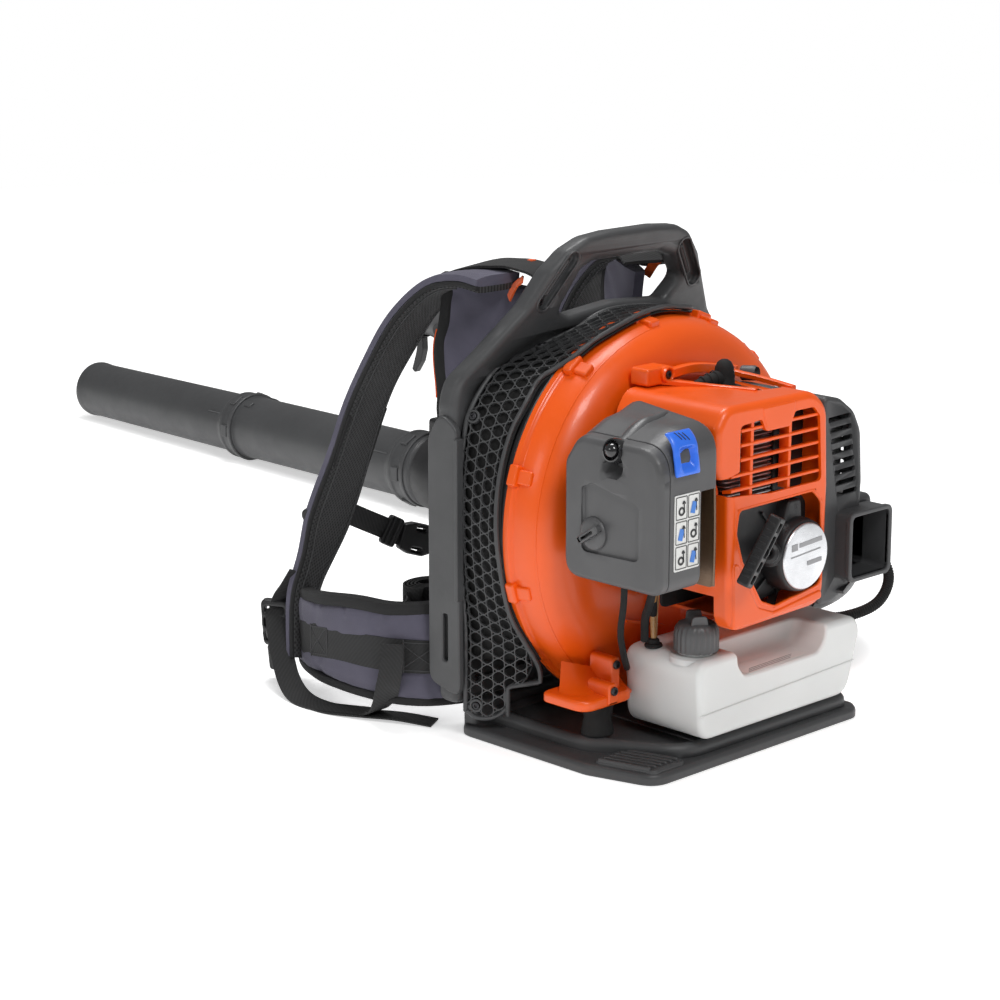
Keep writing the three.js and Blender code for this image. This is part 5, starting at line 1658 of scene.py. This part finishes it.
def conduits():
    rear = [(190, -30, 84), (196, -36, 84), (232, -60, 82), (275, -72, 92), (306, -62, 116),
            (310, -34, 144), (306, 10, 168), (318, 60, 172), (350, 110, 160), (372, 150, 150)]
    ob = ribbed("conduit_a", rear, 5.6, 0.75, 2.9, 14, M["rubber"], 4)
    smooth(ob, 70)
    place(ob, "unit", ["conduit_rear"])
    mid = Vector((424, 290, 136))
    a = ribbed("conduit_b", [(372, 150, 150), (392, 205, 146), tuple(mid)], 5.6, 0.75, 2.9, 14, M["rubber"],
            4)
    b = ribbed("conduit_c", [tuple(mid), (444, 360, 124), (456, 436, 118)], 5.6, 0.75, 2.9, 14, M["rubber"],
            4)
    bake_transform(a)
    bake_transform(b)
    front = [(456, 436, 118), (460, 520, 116), (464, 640, 112), (468, 740, 114), (C.x, C.y - 44, 126),
            (C.x, C.y - 14, 122)]
    ob = ribbed("conduit_d", front, 5.6, 0.75, 2.9, 14, M["rubber"], 4)
    smooth(ob, 70)
    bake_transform(ob)
    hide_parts("conduit_front")
    ties = [lathe(f"tie{k}", [(46.8, -3), (48.6, -2.4), (48.6, 2.4), (46.8, 3)], TUBE_START + TUBE_DIR * s,
            TUBE_DIR, 64) for k, s in enumerate((90, 250))]
    place(join("tube_ties", ties, M["black_plastic"]), "blow_tube")


fuel_tank()
fuel_cap()
lines()
air_path()
blow_tubes()
control_grip()
from_cad("trigger_blade", "throttle_trigger", M["black_plastic"], 2, "trigger")
from_cad("cruise_tab", "cruise_lever", M["black_plastic"], 1.2, "cruise")
from_cad("stop_key", "stop_switch", M["red_plastic"], 1.2, "stop_button")
conduits()


# ---------------------------------------------------------------- harness
FRAME_MID = 12


def sided(side):
    """Points given for the left side, or mirrored about the middle of the frame for the right."""
    return (lambda p: Vector(p)) if side < 0 else (lambda p: Vector((2 * FRAME_MID - p[0], p[1], p[2])))


def inflate(ob, voxel=5, cap=7, pressure=4):
    """Blows a padded piece up as cloth, then keeps the result: its seams stay in and its faces swell."""
    mats = list(ob.data.materials)
    m = ob.modifiers.new("remesh", "REMESH")
    m.mode = "VOXEL"
    m.voxel_size = voxel * MM
    bake(ob)
    start = [v.co.copy() for v in ob.data.vertices]
    m = ob.modifiers.new("cloth", "CLOTH")
    m.settings.use_pressure = True
    m.settings.uniform_pressure_force = pressure
    m.settings.effector_weights.gravity = 0
    m.point_cache.frame_start, m.point_cache.frame_end = 1, 20
    for f in range(1, 21):
        bpy.context.scene.frame_set(f)
    bake(ob)
    bpy.context.scene.frame_set(1)
    for v, s in zip(ob.data.vertices, start):
        d = v.co - s
        if d.length > cap * MM:
            v.co = s + d.normalized() * cap * MM
    m = ob.modifiers.new("sub", "SUBSURF")
    m.levels = m.render_levels = 1
    bake(ob)
    ob.data.materials.clear()
    for m in mats:
        ob.data.materials.append(m)
    smooth(ob, 180)
    return ob


def back_pad():
    outline = rounded([(-86, 126), (110, 126), (106, 396), (66, 411), (-42, 411), (-82, 396)],
            [34, 34, 30, 50, 50, 30], 8)
    ob = bake(plate("back_cushion", outline, [], "Y", 149, 165, M["mesh_fabric"], r=(6, 7), n=4))
    ob.data.materials.clear()
    ob.data.materials.append(M["mesh_fabric"])
    inflate(ob, 5, 5)
    me = ob.data
    uv = me.uv_layers.active or me.uv_layers.new()
    for poly in me.polygons:
        for li in poly.loop_indices:
            co = me.vertices[me.loops[li].vertex_index].co
            uv.data[li].uv = (co.x + co.y, co.z)
    place(ob, "unit", ["back_pad"])
    edge = inset_loop(outline, -1.5)
    ring = [(x, 157, z) for x, z in edge] + [(edge[0][0], 157, edge[0][1])]
    piping = tube("back_piping", ring, 4.6, 220, 12, M["binding"], False)
    place(piping, "unit")
    rows = [strip(f"quilt{k}", [(x, 168.6 + 1.5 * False, 150), (x * 0.96, 169.4, 260),
            (x * 0.9, 168.4, 390)], 5, 1.6, (1, 0, 0), 40) for k, x in enumerate((-48, 12, 72))]
    place(join("back_quilting", rows, M["binding"]), "unit")
    yoke = strip("back_yoke", [(12, 160, 404), (12, 168, 396), (12, 170.5, 378), (12, 170.5, 364)], 128, 3,
            (1, 0, 0), 40, M["fabric"], 1, 12)
    place(yoke, "unit")


SHOULDER = [(-112, 128, 466), (-113, 160, 468), (-117, 200, 458), (-123, 240, 424), (-128, 276, 374),
        (-128, 312, 318), (-130, 346, 240), (-138, 361, 192),
            (-152, 367, 150), (-174, 367, 106), (-188, 362, 66), (-195, 357, 36)]


def strap_width(f):
    return 60 - 4 * smoothstep(0.25, 0.45, f) + 6 * smoothstep(0.52, 0.68, f) - 26 * smoothstep(0.7, 0.85,
            f) - 18 * smoothstep(0.85, 1, f)


def offset_path(points, across, d, n=60):
    """The path moved d along its own outward side, the side away from the wearer."""
    pts, _ = curve_points(points, n)
    out = []
    for p, t in zip(pts, tangents(pts)):
        a = (Vector(across) - t * Vector(across).dot(t)).normalized()
        out.append(p - t.cross(a) * d)
    return out


def shoulder_strap(side):
    at = sided(side)
    path = [at(p) for p in SHOULDER]
    name = "left" if side < 0 else "right"
    across = (1, 0.05, 0)
    face = offset_path(path, across, 4.2)
    pad = strip(f"strap_pad_{name}", face, lambda f: strap_width(f) + 2.5,
            lambda f: 6.5 - 2 * smoothstep(0.85, 1, f), across, 150, M["fabric"], 2.2, 10, 0.5)
    place(pad, "unit")
    lining_path = offset_path(path, across, -3.2)
    lining = strip(f"strap_mesh_{name}", lining_path, lambda f: strap_width(f) - 1,
            lambda f: 6 - 1.5 * smoothstep(0.85, 1, f), across, 150, M["mesh_fabric"], 1.8, 10, 0.4)
    place(lining, "unit", [f"strap_{name}"])
    pts, _ = curve_points(path, 120)
    edges = []
    for s in (-1, 1):
        rail = []
        for i, (p, t) in enumerate(zip(pts, tangents(pts))):
            a = (Vector(across) - t * Vector(across).dot(t)).normalized()
            rail.append(p + a * s * (strap_width(i / 119) / 2) + t.cross(a) * 2.2)
        edges.append(tube(f"rail{s}", rail, 2.7, 150, 10, None))
    binding = join(f"strap_binding_{name}", edges, M["binding"])
    smooth(binding, 80)
    place(binding, "unit")
    fold = strip(f"strap_fold_{name}", offset_path(path, across, -5.6)[28:36], lambda f: 57, 2.2, across,
            12, M["binding"], 0.5, 8)
    stitch = []
    for s in (-1, 1):
        rail = []
        for i, (p, t) in enumerate(zip(pts, tangents(pts))):
            a = (Vector(across) - t * Vector(across).dot(t)).normalized()
            rail.append(p + a * s * (strap_width(i / 119) / 2 - 6) + t.cross(a) * 8.2)
        stitch.append(tube(f"st{s}", rail[8:112], 0.7, 150, 6, None))
    place(join(f"strap_stitch_{name}", stitch, M["thread"]), "unit")
    place(fold, "unit")


def yoke(side):
    at = sided(side)
    name = "left" if side < 0 else "right"
    flip = -1 if side > 0 else 1
    lead = [at(p) for p in [(-88, 160, 462), (-89, 163, 440), (-95, 172, 408), (-107, 176, 366),
            (-118, 172, 330), (-122, 166, 292)]]
    wide = lambda f: 92 - 22 * smoothstep(0.05, 0.4, f) - 30 * smoothstep(0.4, 0.75,
            f) - 10 * smoothstep(0.75, 1, f)
    across = lambda f: (-0.45 * flip, 0.9, 0.1)
    panel = strip(f"yoke_pad_{name}", lead, wide, 11, across, 80, M["fabric"], 4, 14, 0.8)
    place(panel, "unit")
    pts, _ = curve_points(lead, 60)
    rim = []
    for i, (p, t) in enumerate(zip(pts, tangents(pts))):
        a = Vector(across(0))
        a = (a - t * a.dot(t)).normalized()
        rim.append(p + a * (wide(i / 59) / 2 + 2))
    tape = strip(f"yoke_binding_{name}", rim, 13, 12, lambda f: (-0.45 * flip, 0.9, 0.1), 80, M["binding"],
            1.5, 6, 0.4)
    place(tape, "unit")
    accent = strip(f"yoke_accent_{name}", [p + Vector((0.003 * flip, 8, 0)) + Vector((0, 0,
            0)) for p in rim[22:44]], 7, 3, lambda f: (-0.3 * flip, 1, 0), 40, M["orange_cloth"], 0.3)
    place(accent, "unit")
    top = [at(p) for p in [(-60, 100, 470), (-66, 118, 478), (-76, 146, 481), (-92, 178, 477),
            (-108, 206, 463), (-121, 236, 435)]]
    band_top = strip(f"lift_webbing_{name}", top, 58, 2.6, (1, 0.3 * flip, 0), 70, M["webbing"], 0.6, 8,
            0.5)
    place(band_top, "unit")
    tabs = [strip(f"tab{k}", [at((x, y, z)), at((x - 3, y + 13, z - drop * 0.4)),
            at((x - 7, y + 25, z - drop))], 9, 1.6, (1, 0.3 * flip, 0), 16) for k,
            (x, y, z, drop) in enumerate(((-52, 136, 482.2, 2), (-62, 168, 480.4, 9)))]
    tabs.append(strip("tab_in", [at((-92, 112, 470)), at((-93, 122, 462)), at((-92, 132, 448))], 10, 2,
            (0.4 * flip, 0.9, 0), 16))
    place(join(f"lift_accents_{name}", tabs, M["orange_cloth"]), "unit")


WING = [(-128, 138), (-156, 146), (-184, 164), (-201, 196), (-206, 240), (-203, 290), (-191, 332),
        (-176, 362), (-158, 388)]


def belt_wing(side):
    at = sided(side)
    name = "left" if side < 0 else "right"
    base, _ = curve_points([(x, y, 0) for x, y in WING], 90)
    tans = tangents(base)
    top = lambda f: 136 - 8 * smoothstep(0, 0.4, f) - 22 * smoothstep(0.4, 1, f)
    low = lambda f: 27 - 3 * f + 22 * smoothstep(0.93, 1, f)
    folds = [(0.15, 2.1, 0.012), (0.22, 1.5, 0.009), (0.34, 2.6, 0.013), (0.4, 1.6, 0.008),
            (0.55, 1.2, 0.012), (0.68, 2.4, 0.012), (0.72, 1.8, 0.008), (0.8, 2.0, 0.01), (0.9, 1.6, 0.012)]
    verts, faces = [], []
    rows = 30
    for i, (p, t) in enumerate(zip(base, tans)):
        f = i / 89
        out = Vector((-t.y, t.x, 0))
        for half in (1, -1):
            for k in range(rows + 1):
                v = k / rows
                if half < 0:
                    v = 1 - v
                z = low(f) + (top(f) - low(f)) * v
                swell = 8.4 * (1 - abs(2 * v - 1) ** 5) ** 0.5 * (1 - 0.6 * smoothstep(0.95, 1,
                        f) - 0.3 * smoothstep(0.05, 0, f))
                pinch = sum(a * math.exp(-((f - c - 0.03 * math.sin(9 * v + c * 40)) / w) ** 2) for c, a,
                        w in folds) * (0.4 + 0.9 * abs(v - 0.5))
                band = 2.2 * math.exp(-(((v - 0.47) * 2) / 0.42) ** 4)
                d = half * (swell - pinch - band) if half > 0 else -swell
                verts.append(at(tuple(Vector((p.x, p.y, z)) + out * d)))
    loop = 2 * (rows + 1)
    for i in range(89):
        for k in range(loop):
            m = (k + 1) % loop
            q = (i * loop + k, i * loop + m, (i + 1) * loop + m, (i + 1) * loop + k)
            faces.append(q if side < 0 else q[::-1])
    for b, rev in ((0, False), (89 * loop, True)):
        for k in range(rows):
            q = (b + k, b + loop - 1 - k, b + loop - 2 - k, b + k + 1)
            faces.append(q if rev != (side < 0) else q[::-1])
    pad = make(f"belt_pad_{name}", verts, faces, M["fabric"], 180)
    inflate(pad, 4, 3, 3)
    place(pad, "unit", [f"belt_{name}"])
    rims = []
    for zf, s in ((top, 1), (low, -1)):
        rims.append(strip(f"rim{s}", [at((p.x, p.y, zf(i / 89) - s * 2.5)) for i, p in enumerate(base)],
                12 if s > 0 else 9, 13, (0, 0, 1), 150, None, 1.6, 6, 0.3))
    edge = join(f"belt_binding_{name}", rims, M["binding"])
    place(edge, "unit")

    def line(z_of, d, f0=0.0, f1=1.0):
        pick = range(int(89 * f0), int(89 * f1) + 1)
        return [at(tuple(base[i] + Vector((-tans[i].y, tans[i].x, 0)) * d + Vector((0, 0,
                z_of(i / 89))))) for i in pick]

    mid = lambda f: 79 - 3 * smoothstep(0.2, 0.6, f) - 20 * smoothstep(0.5, 1, f)
    web = strip(f"belt_webbing_{name}", line(mid, 8.6), 36, 2.4, (0, 0, 1), 160, M["webbing"], 0.4, 8, 0.35)
    place(web, "unit")
    stitches = []
    for f0 in (0.16, 0.62):
        f1 = f0 + 0.12
        for za, zb in ((15, 15), (-15, -15), (15, -15), (-15, 15)):
            pts = line(lambda f: mid(f) + za + (zb - za) * (f - f0) / (f1 - f0), 10.3, f0, f1)
            stitches.append(tube("s", pts, 0.55, 12, 6, None))
        for f in (f0, f1):
            i = int(89 * f)
            o = base[i] + Vector((-tans[i].y, tans[i].x, 0)) * 10.3
            stitches.append(tube("s", [at((o.x, o.y, mid(f) - 15)), at((o.x, o.y, mid(f) + 15))], 0.55, 6,
                    6, None))
            if f == f1:
                ends = [at((o.x, o.y, mid(f) - 18)), at((o.x, o.y, mid(f) + 18))]
                stitches.append(tube("s", ends, 0.9, 6, 6, None))
    place(join(f"belt_stitches_{name}", stitches, M["thread"]), "unit")


def rolled_end():
    turns = []
    for k in range(120):
        a = k / 119 * 2 * math.pi * 4.2
        r = 8 + 15 * k / 119
        turns.append((-150 + r * math.cos(a + 2.6) * 1.25, 196 + r * math.sin(a + 2.6) * 0.9, 128))
    turns += [(-176, 190, 124), (-188, 186, 118)]
    coil = strip("webbing_roll", turns, 34, 2, (0, 0, 1), 260, M["webbing"], 0.2, 4)
    place(coil, "unit")


def ladder_lock():
    face = Vector((-0.82, -0.45, 0.1))
    along = Vector((0.08, 0.06, -1))
    centre = Vector((-188, 398, 66))
    parts = []
    frame_out = rounded([(-27, -17), (27, -15), (27, 15), (-27, 17)], 6, 5)
    slots = [rounded([(-20, -11), (-13, -11), (-13, 11), (-20, 11)], 2, 3),
            rounded([(-8, -11), (2, -11), (2, 11), (-8, 11)], 2, 3),
            rounded([(9, -11), (20, -11), (20, 11), (9, 11)], 2, 3)]
    body = bake(plate("lock", frame_out, slots, "Z", -4, 5, r=(1.5, 3), n=3))
    bend(body, lambda x, y, z: (x, y, z + 5 * math.sin((x + 27) / 54 * math.pi)))
    orient(body, centre, along, face)
    parts.append(body)
    bar = tube("bar", [(0, -14, 0), (0, 14, 0)], 3.4, 8, 14)
    orient(bar, centre + along * 6 + face * 3, along, face)
    parts.append(bar)
    ob = join("ladder_lock", parts, M["black_plastic"])
    smooth(ob, 40)
    place(ob, "unit", ["belt_buckle"])
    tongue_parts = []
    plate_t = bake(plate("tongue_plate", rounded([(-14, -12), (16, -10), (16, 10), (-14, 12)], 4, 4),
            [rounded([(-9, -8), (-4, -8), (-4, 8), (-9, 8)], 1.5, 3)], "Z", -3, 3, r=1.6, n=3))
    orient(plate_t, centre + along * 40 + face * 1, along, face)
    tongue_parts.append(plate_t)
    for s in (-1, 1):
        prong = bake(plate("prong", rounded([(-12, s * 5 - 1.6), (14, s * 5 - 1.6), (14, s * 5 + 1.6),
                (-12, s * 5 + 1.6)], 1.2, 3), [], "Z", 2, 4.4, r=0.7, n=2))
        orient(prong, centre + along * 40 + face * 1, along, face)
        tongue_parts.append(prong)
    ob = join("belt_tongue", tongue_parts, M["black_plastic"])
    smooth(ob, 40)
    place(ob, "unit")
    link = strip("lock_webbing", [(-181, 368, 128), (-184, 378, 112), (-186, 390, 96), (-187, 397, 78),
            (-188, 399, 62)], 22, 2.2, (0.7, -0.4, 0), 40, M["webbing"], 0.2)
    place(link, "unit")
    under = strip("lock_anchor", [(-186, 398, 54), (-184, 390, 52), (-180, 376, 56), (-174, 362, 60)], 22,
            2.2, (0.1, 0, 1), 30, M["webbing"], 0.2)
    place(under, "unit")


def free_webbing():
    loop = [(-190, 397, 84), (-199, 384, 66), (-208, 366, 40), (-216, 346, 17), (-222, 320, 5),
            (-222, 286, 3), (-210, 250, 4), (-204, 222, 8), (-210, 200, 24), (-219, 182, 50),
            (-219, 176, 76), (-217, 178, 94)]

    def across(f):
        stages = [(0.0, Vector((0.55, -0.8, 0.1))), (0.3, Vector((0.8, -0.5, 0.3))),
                (0.5, Vector((1, 0.1, 0.05))), (0.72, Vector((1, -0.2, 0.1))),
                (0.86, Vector((0.5, -0.85, 0))), (1.0, Vector((0.42, -0.9, 0.1)))]
        for (a, u), (b, w) in zip(stages, stages[1:]):
            if f <= b:
                return u.lerp(w, (f - a) / (b - a))
        return stages[-1][1]

    loose = strip("webbing_loop", loop, 25, 1.8, across, 200, M["webbing"], 0.15, 8)
    place(loose, "unit")
    tail = strip("webbing_tail", [(-222, 302, 1.6), (-220, 270, 1.8), (-206, 230, 4), (-190, 196, 5),
            (-172, 162, 2)], 25, 1.8, (0.9, 0.35, 0.02), 60, M["webbing"], 0.15)
    place(tail, "unit")


def sternum():
    path = [(-118, 362, 186), (-80, 352, 166), (-40, 340, 146), (12, 330, 134), (64, 320, 142),
            (104, 312, 160), (142, 306, 182)]
    band_s = strip("sternum_webbing", path, 24, 2.4, (0.06, -0.1, 1), 120, M["webbing"], 0.3, 8, 0.3)
    place(band_s, "unit", ["sternum_strap"])
    pts, _ = curve_points(path, 100)
    tans = tangents(pts)
    parts = []
    for i, w, name in ((22, 9, "slider"),):
        t = tans[i]
        face = t.cross(Vector((0, 0, 1))).normalized()
        ring = bake(plate(name, rounded([(-w, -17), (w, -17), (w, 17), (-w, 17)], 4, 4), [], "Z", -4.5, 4.5,
                r=2, n=3))
        orient(ring, pts[i], t, face)
        parts.append(ring)
        for s in (-4, 3):
            rib = bake(plate("rib", rounded([(s - 1.2, -16), (s + 1.2, -16), (s + 1.2, 16), (s - 1.2, 16)],
                    1, 3), [], "Z", 4, 6, r=0.8, n=2))
            orient(rib, pts[i], t, face)
            parts.append(rib)
    i = 33
    t = tans[i]
    face = t.cross(Vector((0, 0, 1))).normalized()
    socket = rounded([(-20, -14), (-8, -18), (12, -18), (22, -13), (22, 13), (12, 18), (-8, 18), (-20, 14)],
            4, 4)
    windows = [rounded([(-4, s * 12 - 2.4), (9, s * 12 - 2.4), (9, s * 12 + 2.4), (-4, s * 12 + 2.4)], 2,
            3) for s in (-1, 1)]
    shell = bake(plate("socket", socket, windows, "Z", -5.5, 5.5, r=2.4, n=4))
    orient(shell, pts[i], t, face)
    parts.append(shell)
    for s in (-1, 1):
        prong = bake(plate("prong", rounded([(-10, s * 14 - 2), (10, s * 15.5 - 2), (10, s * 15.5 + 2),
                (-10, s * 14 + 2)], 1.6, 3), [], "Z", -3, 3, r=1, n=2))
        orient(prong, pts[i], t, face)
        parts.append(prong)
    ob = join("sternum_clip", parts, M["black_plastic"])
    smooth(ob, 40)
    place(ob, "unit", ["sternum_buckle"])
    stopper = lathe("sternum_stop", [(0, -5), (6, -5), (8, -3), (8, 3), (6, 5), (0, 5)], (-166, 366, 190),
            (-0.6, -0.3, 0), 28, M["black_plastic"])
    place(stopper, "unit")


back_pad()
for each in (-1, 1):
    shoulder_strap(each)
    yoke(each)
    belt_wing(each)
rolled_end()
ladder_lock()
free_webbing()
sternum()


# ---------------------------------------------------------------- camera, floor and light
def studio():
    scene = bpy.context.scene
    cam_data = bpy.data.cameras.new("camera")
    cam = bpy.data.objects.new("camera", cam_data)
    scene.collection.objects.link(cam)
    cam_data.lens = 99.0
    cam_data.sensor_width = 36.0
    cam_data.clip_end = 60
    heading, tilt = math.radians(44.5), math.radians(13.8)
    look = Vector((math.sin(heading) * math.cos(tilt), math.cos(heading) * math.cos(tilt), -math.sin(tilt)))
    cam.location = (-2.0538, -1.8511, 0.9199)
    cam.rotation_euler = look.to_track_quat("-Z", "Y").to_euler()
    scene.camera = cam
    floor_mat, nt, bsdf = nodes_of("floor")
    bsdf.inputs["Base Color"].default_value = (0.93, 0.93, 0.93, 1)
    bsdf.inputs["Roughness"].default_value = 0.9
    bsdf.inputs["Specular IOR Level"].default_value = 0.1
    ring = [(4600 * math.cos(2 * math.pi * k / 64), 4600 * math.sin(2 * math.pi * k / 64),
            0) for k in range(64)]
    floor = make("floor", ring, [tuple(range(64))], floor_mat)
    where = node(nt, "ShaderNodeTexCoord")
    reach = node(nt, "ShaderNodeVectorMath", operation="LENGTH")
    fade = node(nt, "ShaderNodeMapRange", interpolation_type="SMOOTHSTEP")
    for key, value in (("From Min", 1.3), ("From Max", 3.8), ("To Min", 0.5), ("To Max", 0.84)):
        fade.inputs[key].default_value = value
    nt.links.new(where.outputs["Object"], reach.inputs[0])
    nt.links.new(reach.outputs["Value"], fade.inputs["Value"])
    nt.links.new(fade.outputs["Result"], bsdf.inputs["Emission Strength"])
    bsdf.inputs["Emission Color"].default_value = (1, 1, 1, 1)
    world = bpy.data.worlds.new("studio")
    scene.world = world
    world.use_nodes = True
    world.node_tree.nodes["Background"].inputs["Color"].default_value = (1, 1, 1, 1)
    seen = node(world.node_tree, "ShaderNodeLightPath")
    level = node(world.node_tree, "ShaderNodeMath", operation="MULTIPLY_ADD")
    level.inputs[1].default_value = 0.75
    level.inputs[2].default_value = 0.25
    world.node_tree.links.new(seen.outputs["Is Camera Ray"], level.inputs[0])
    world.node_tree.links.new(level.outputs[0], world.node_tree.nodes["Background"].inputs["Strength"])
    lights = [
        ("key", (-1.0, -2.2, 2.8), (0.0, 0.0, 0.2), 1.0, 52),
        ("left", (-3.0, 0.8, 1.6), (0.0, 0.2, 0.2), 0.9, 10),
        ("top", (0.3, 0.9, 3.2), (0.1, 0.3, 0.1), 1.3, 62),
    ]
    for name, at, aim, size, power in lights:
        data = bpy.data.lights.new(name, "AREA")
        data.size = size
        data.energy = power
        ob = bpy.data.objects.new(name, data)
        ob.location = at
        ob.rotation_euler = (Vector(aim) - Vector(at)).to_track_quat("-Z", "Y").to_euler()
        scene.collection.objects.link(ob)
    scene.view_settings.view_transform = "Standard"


studio()
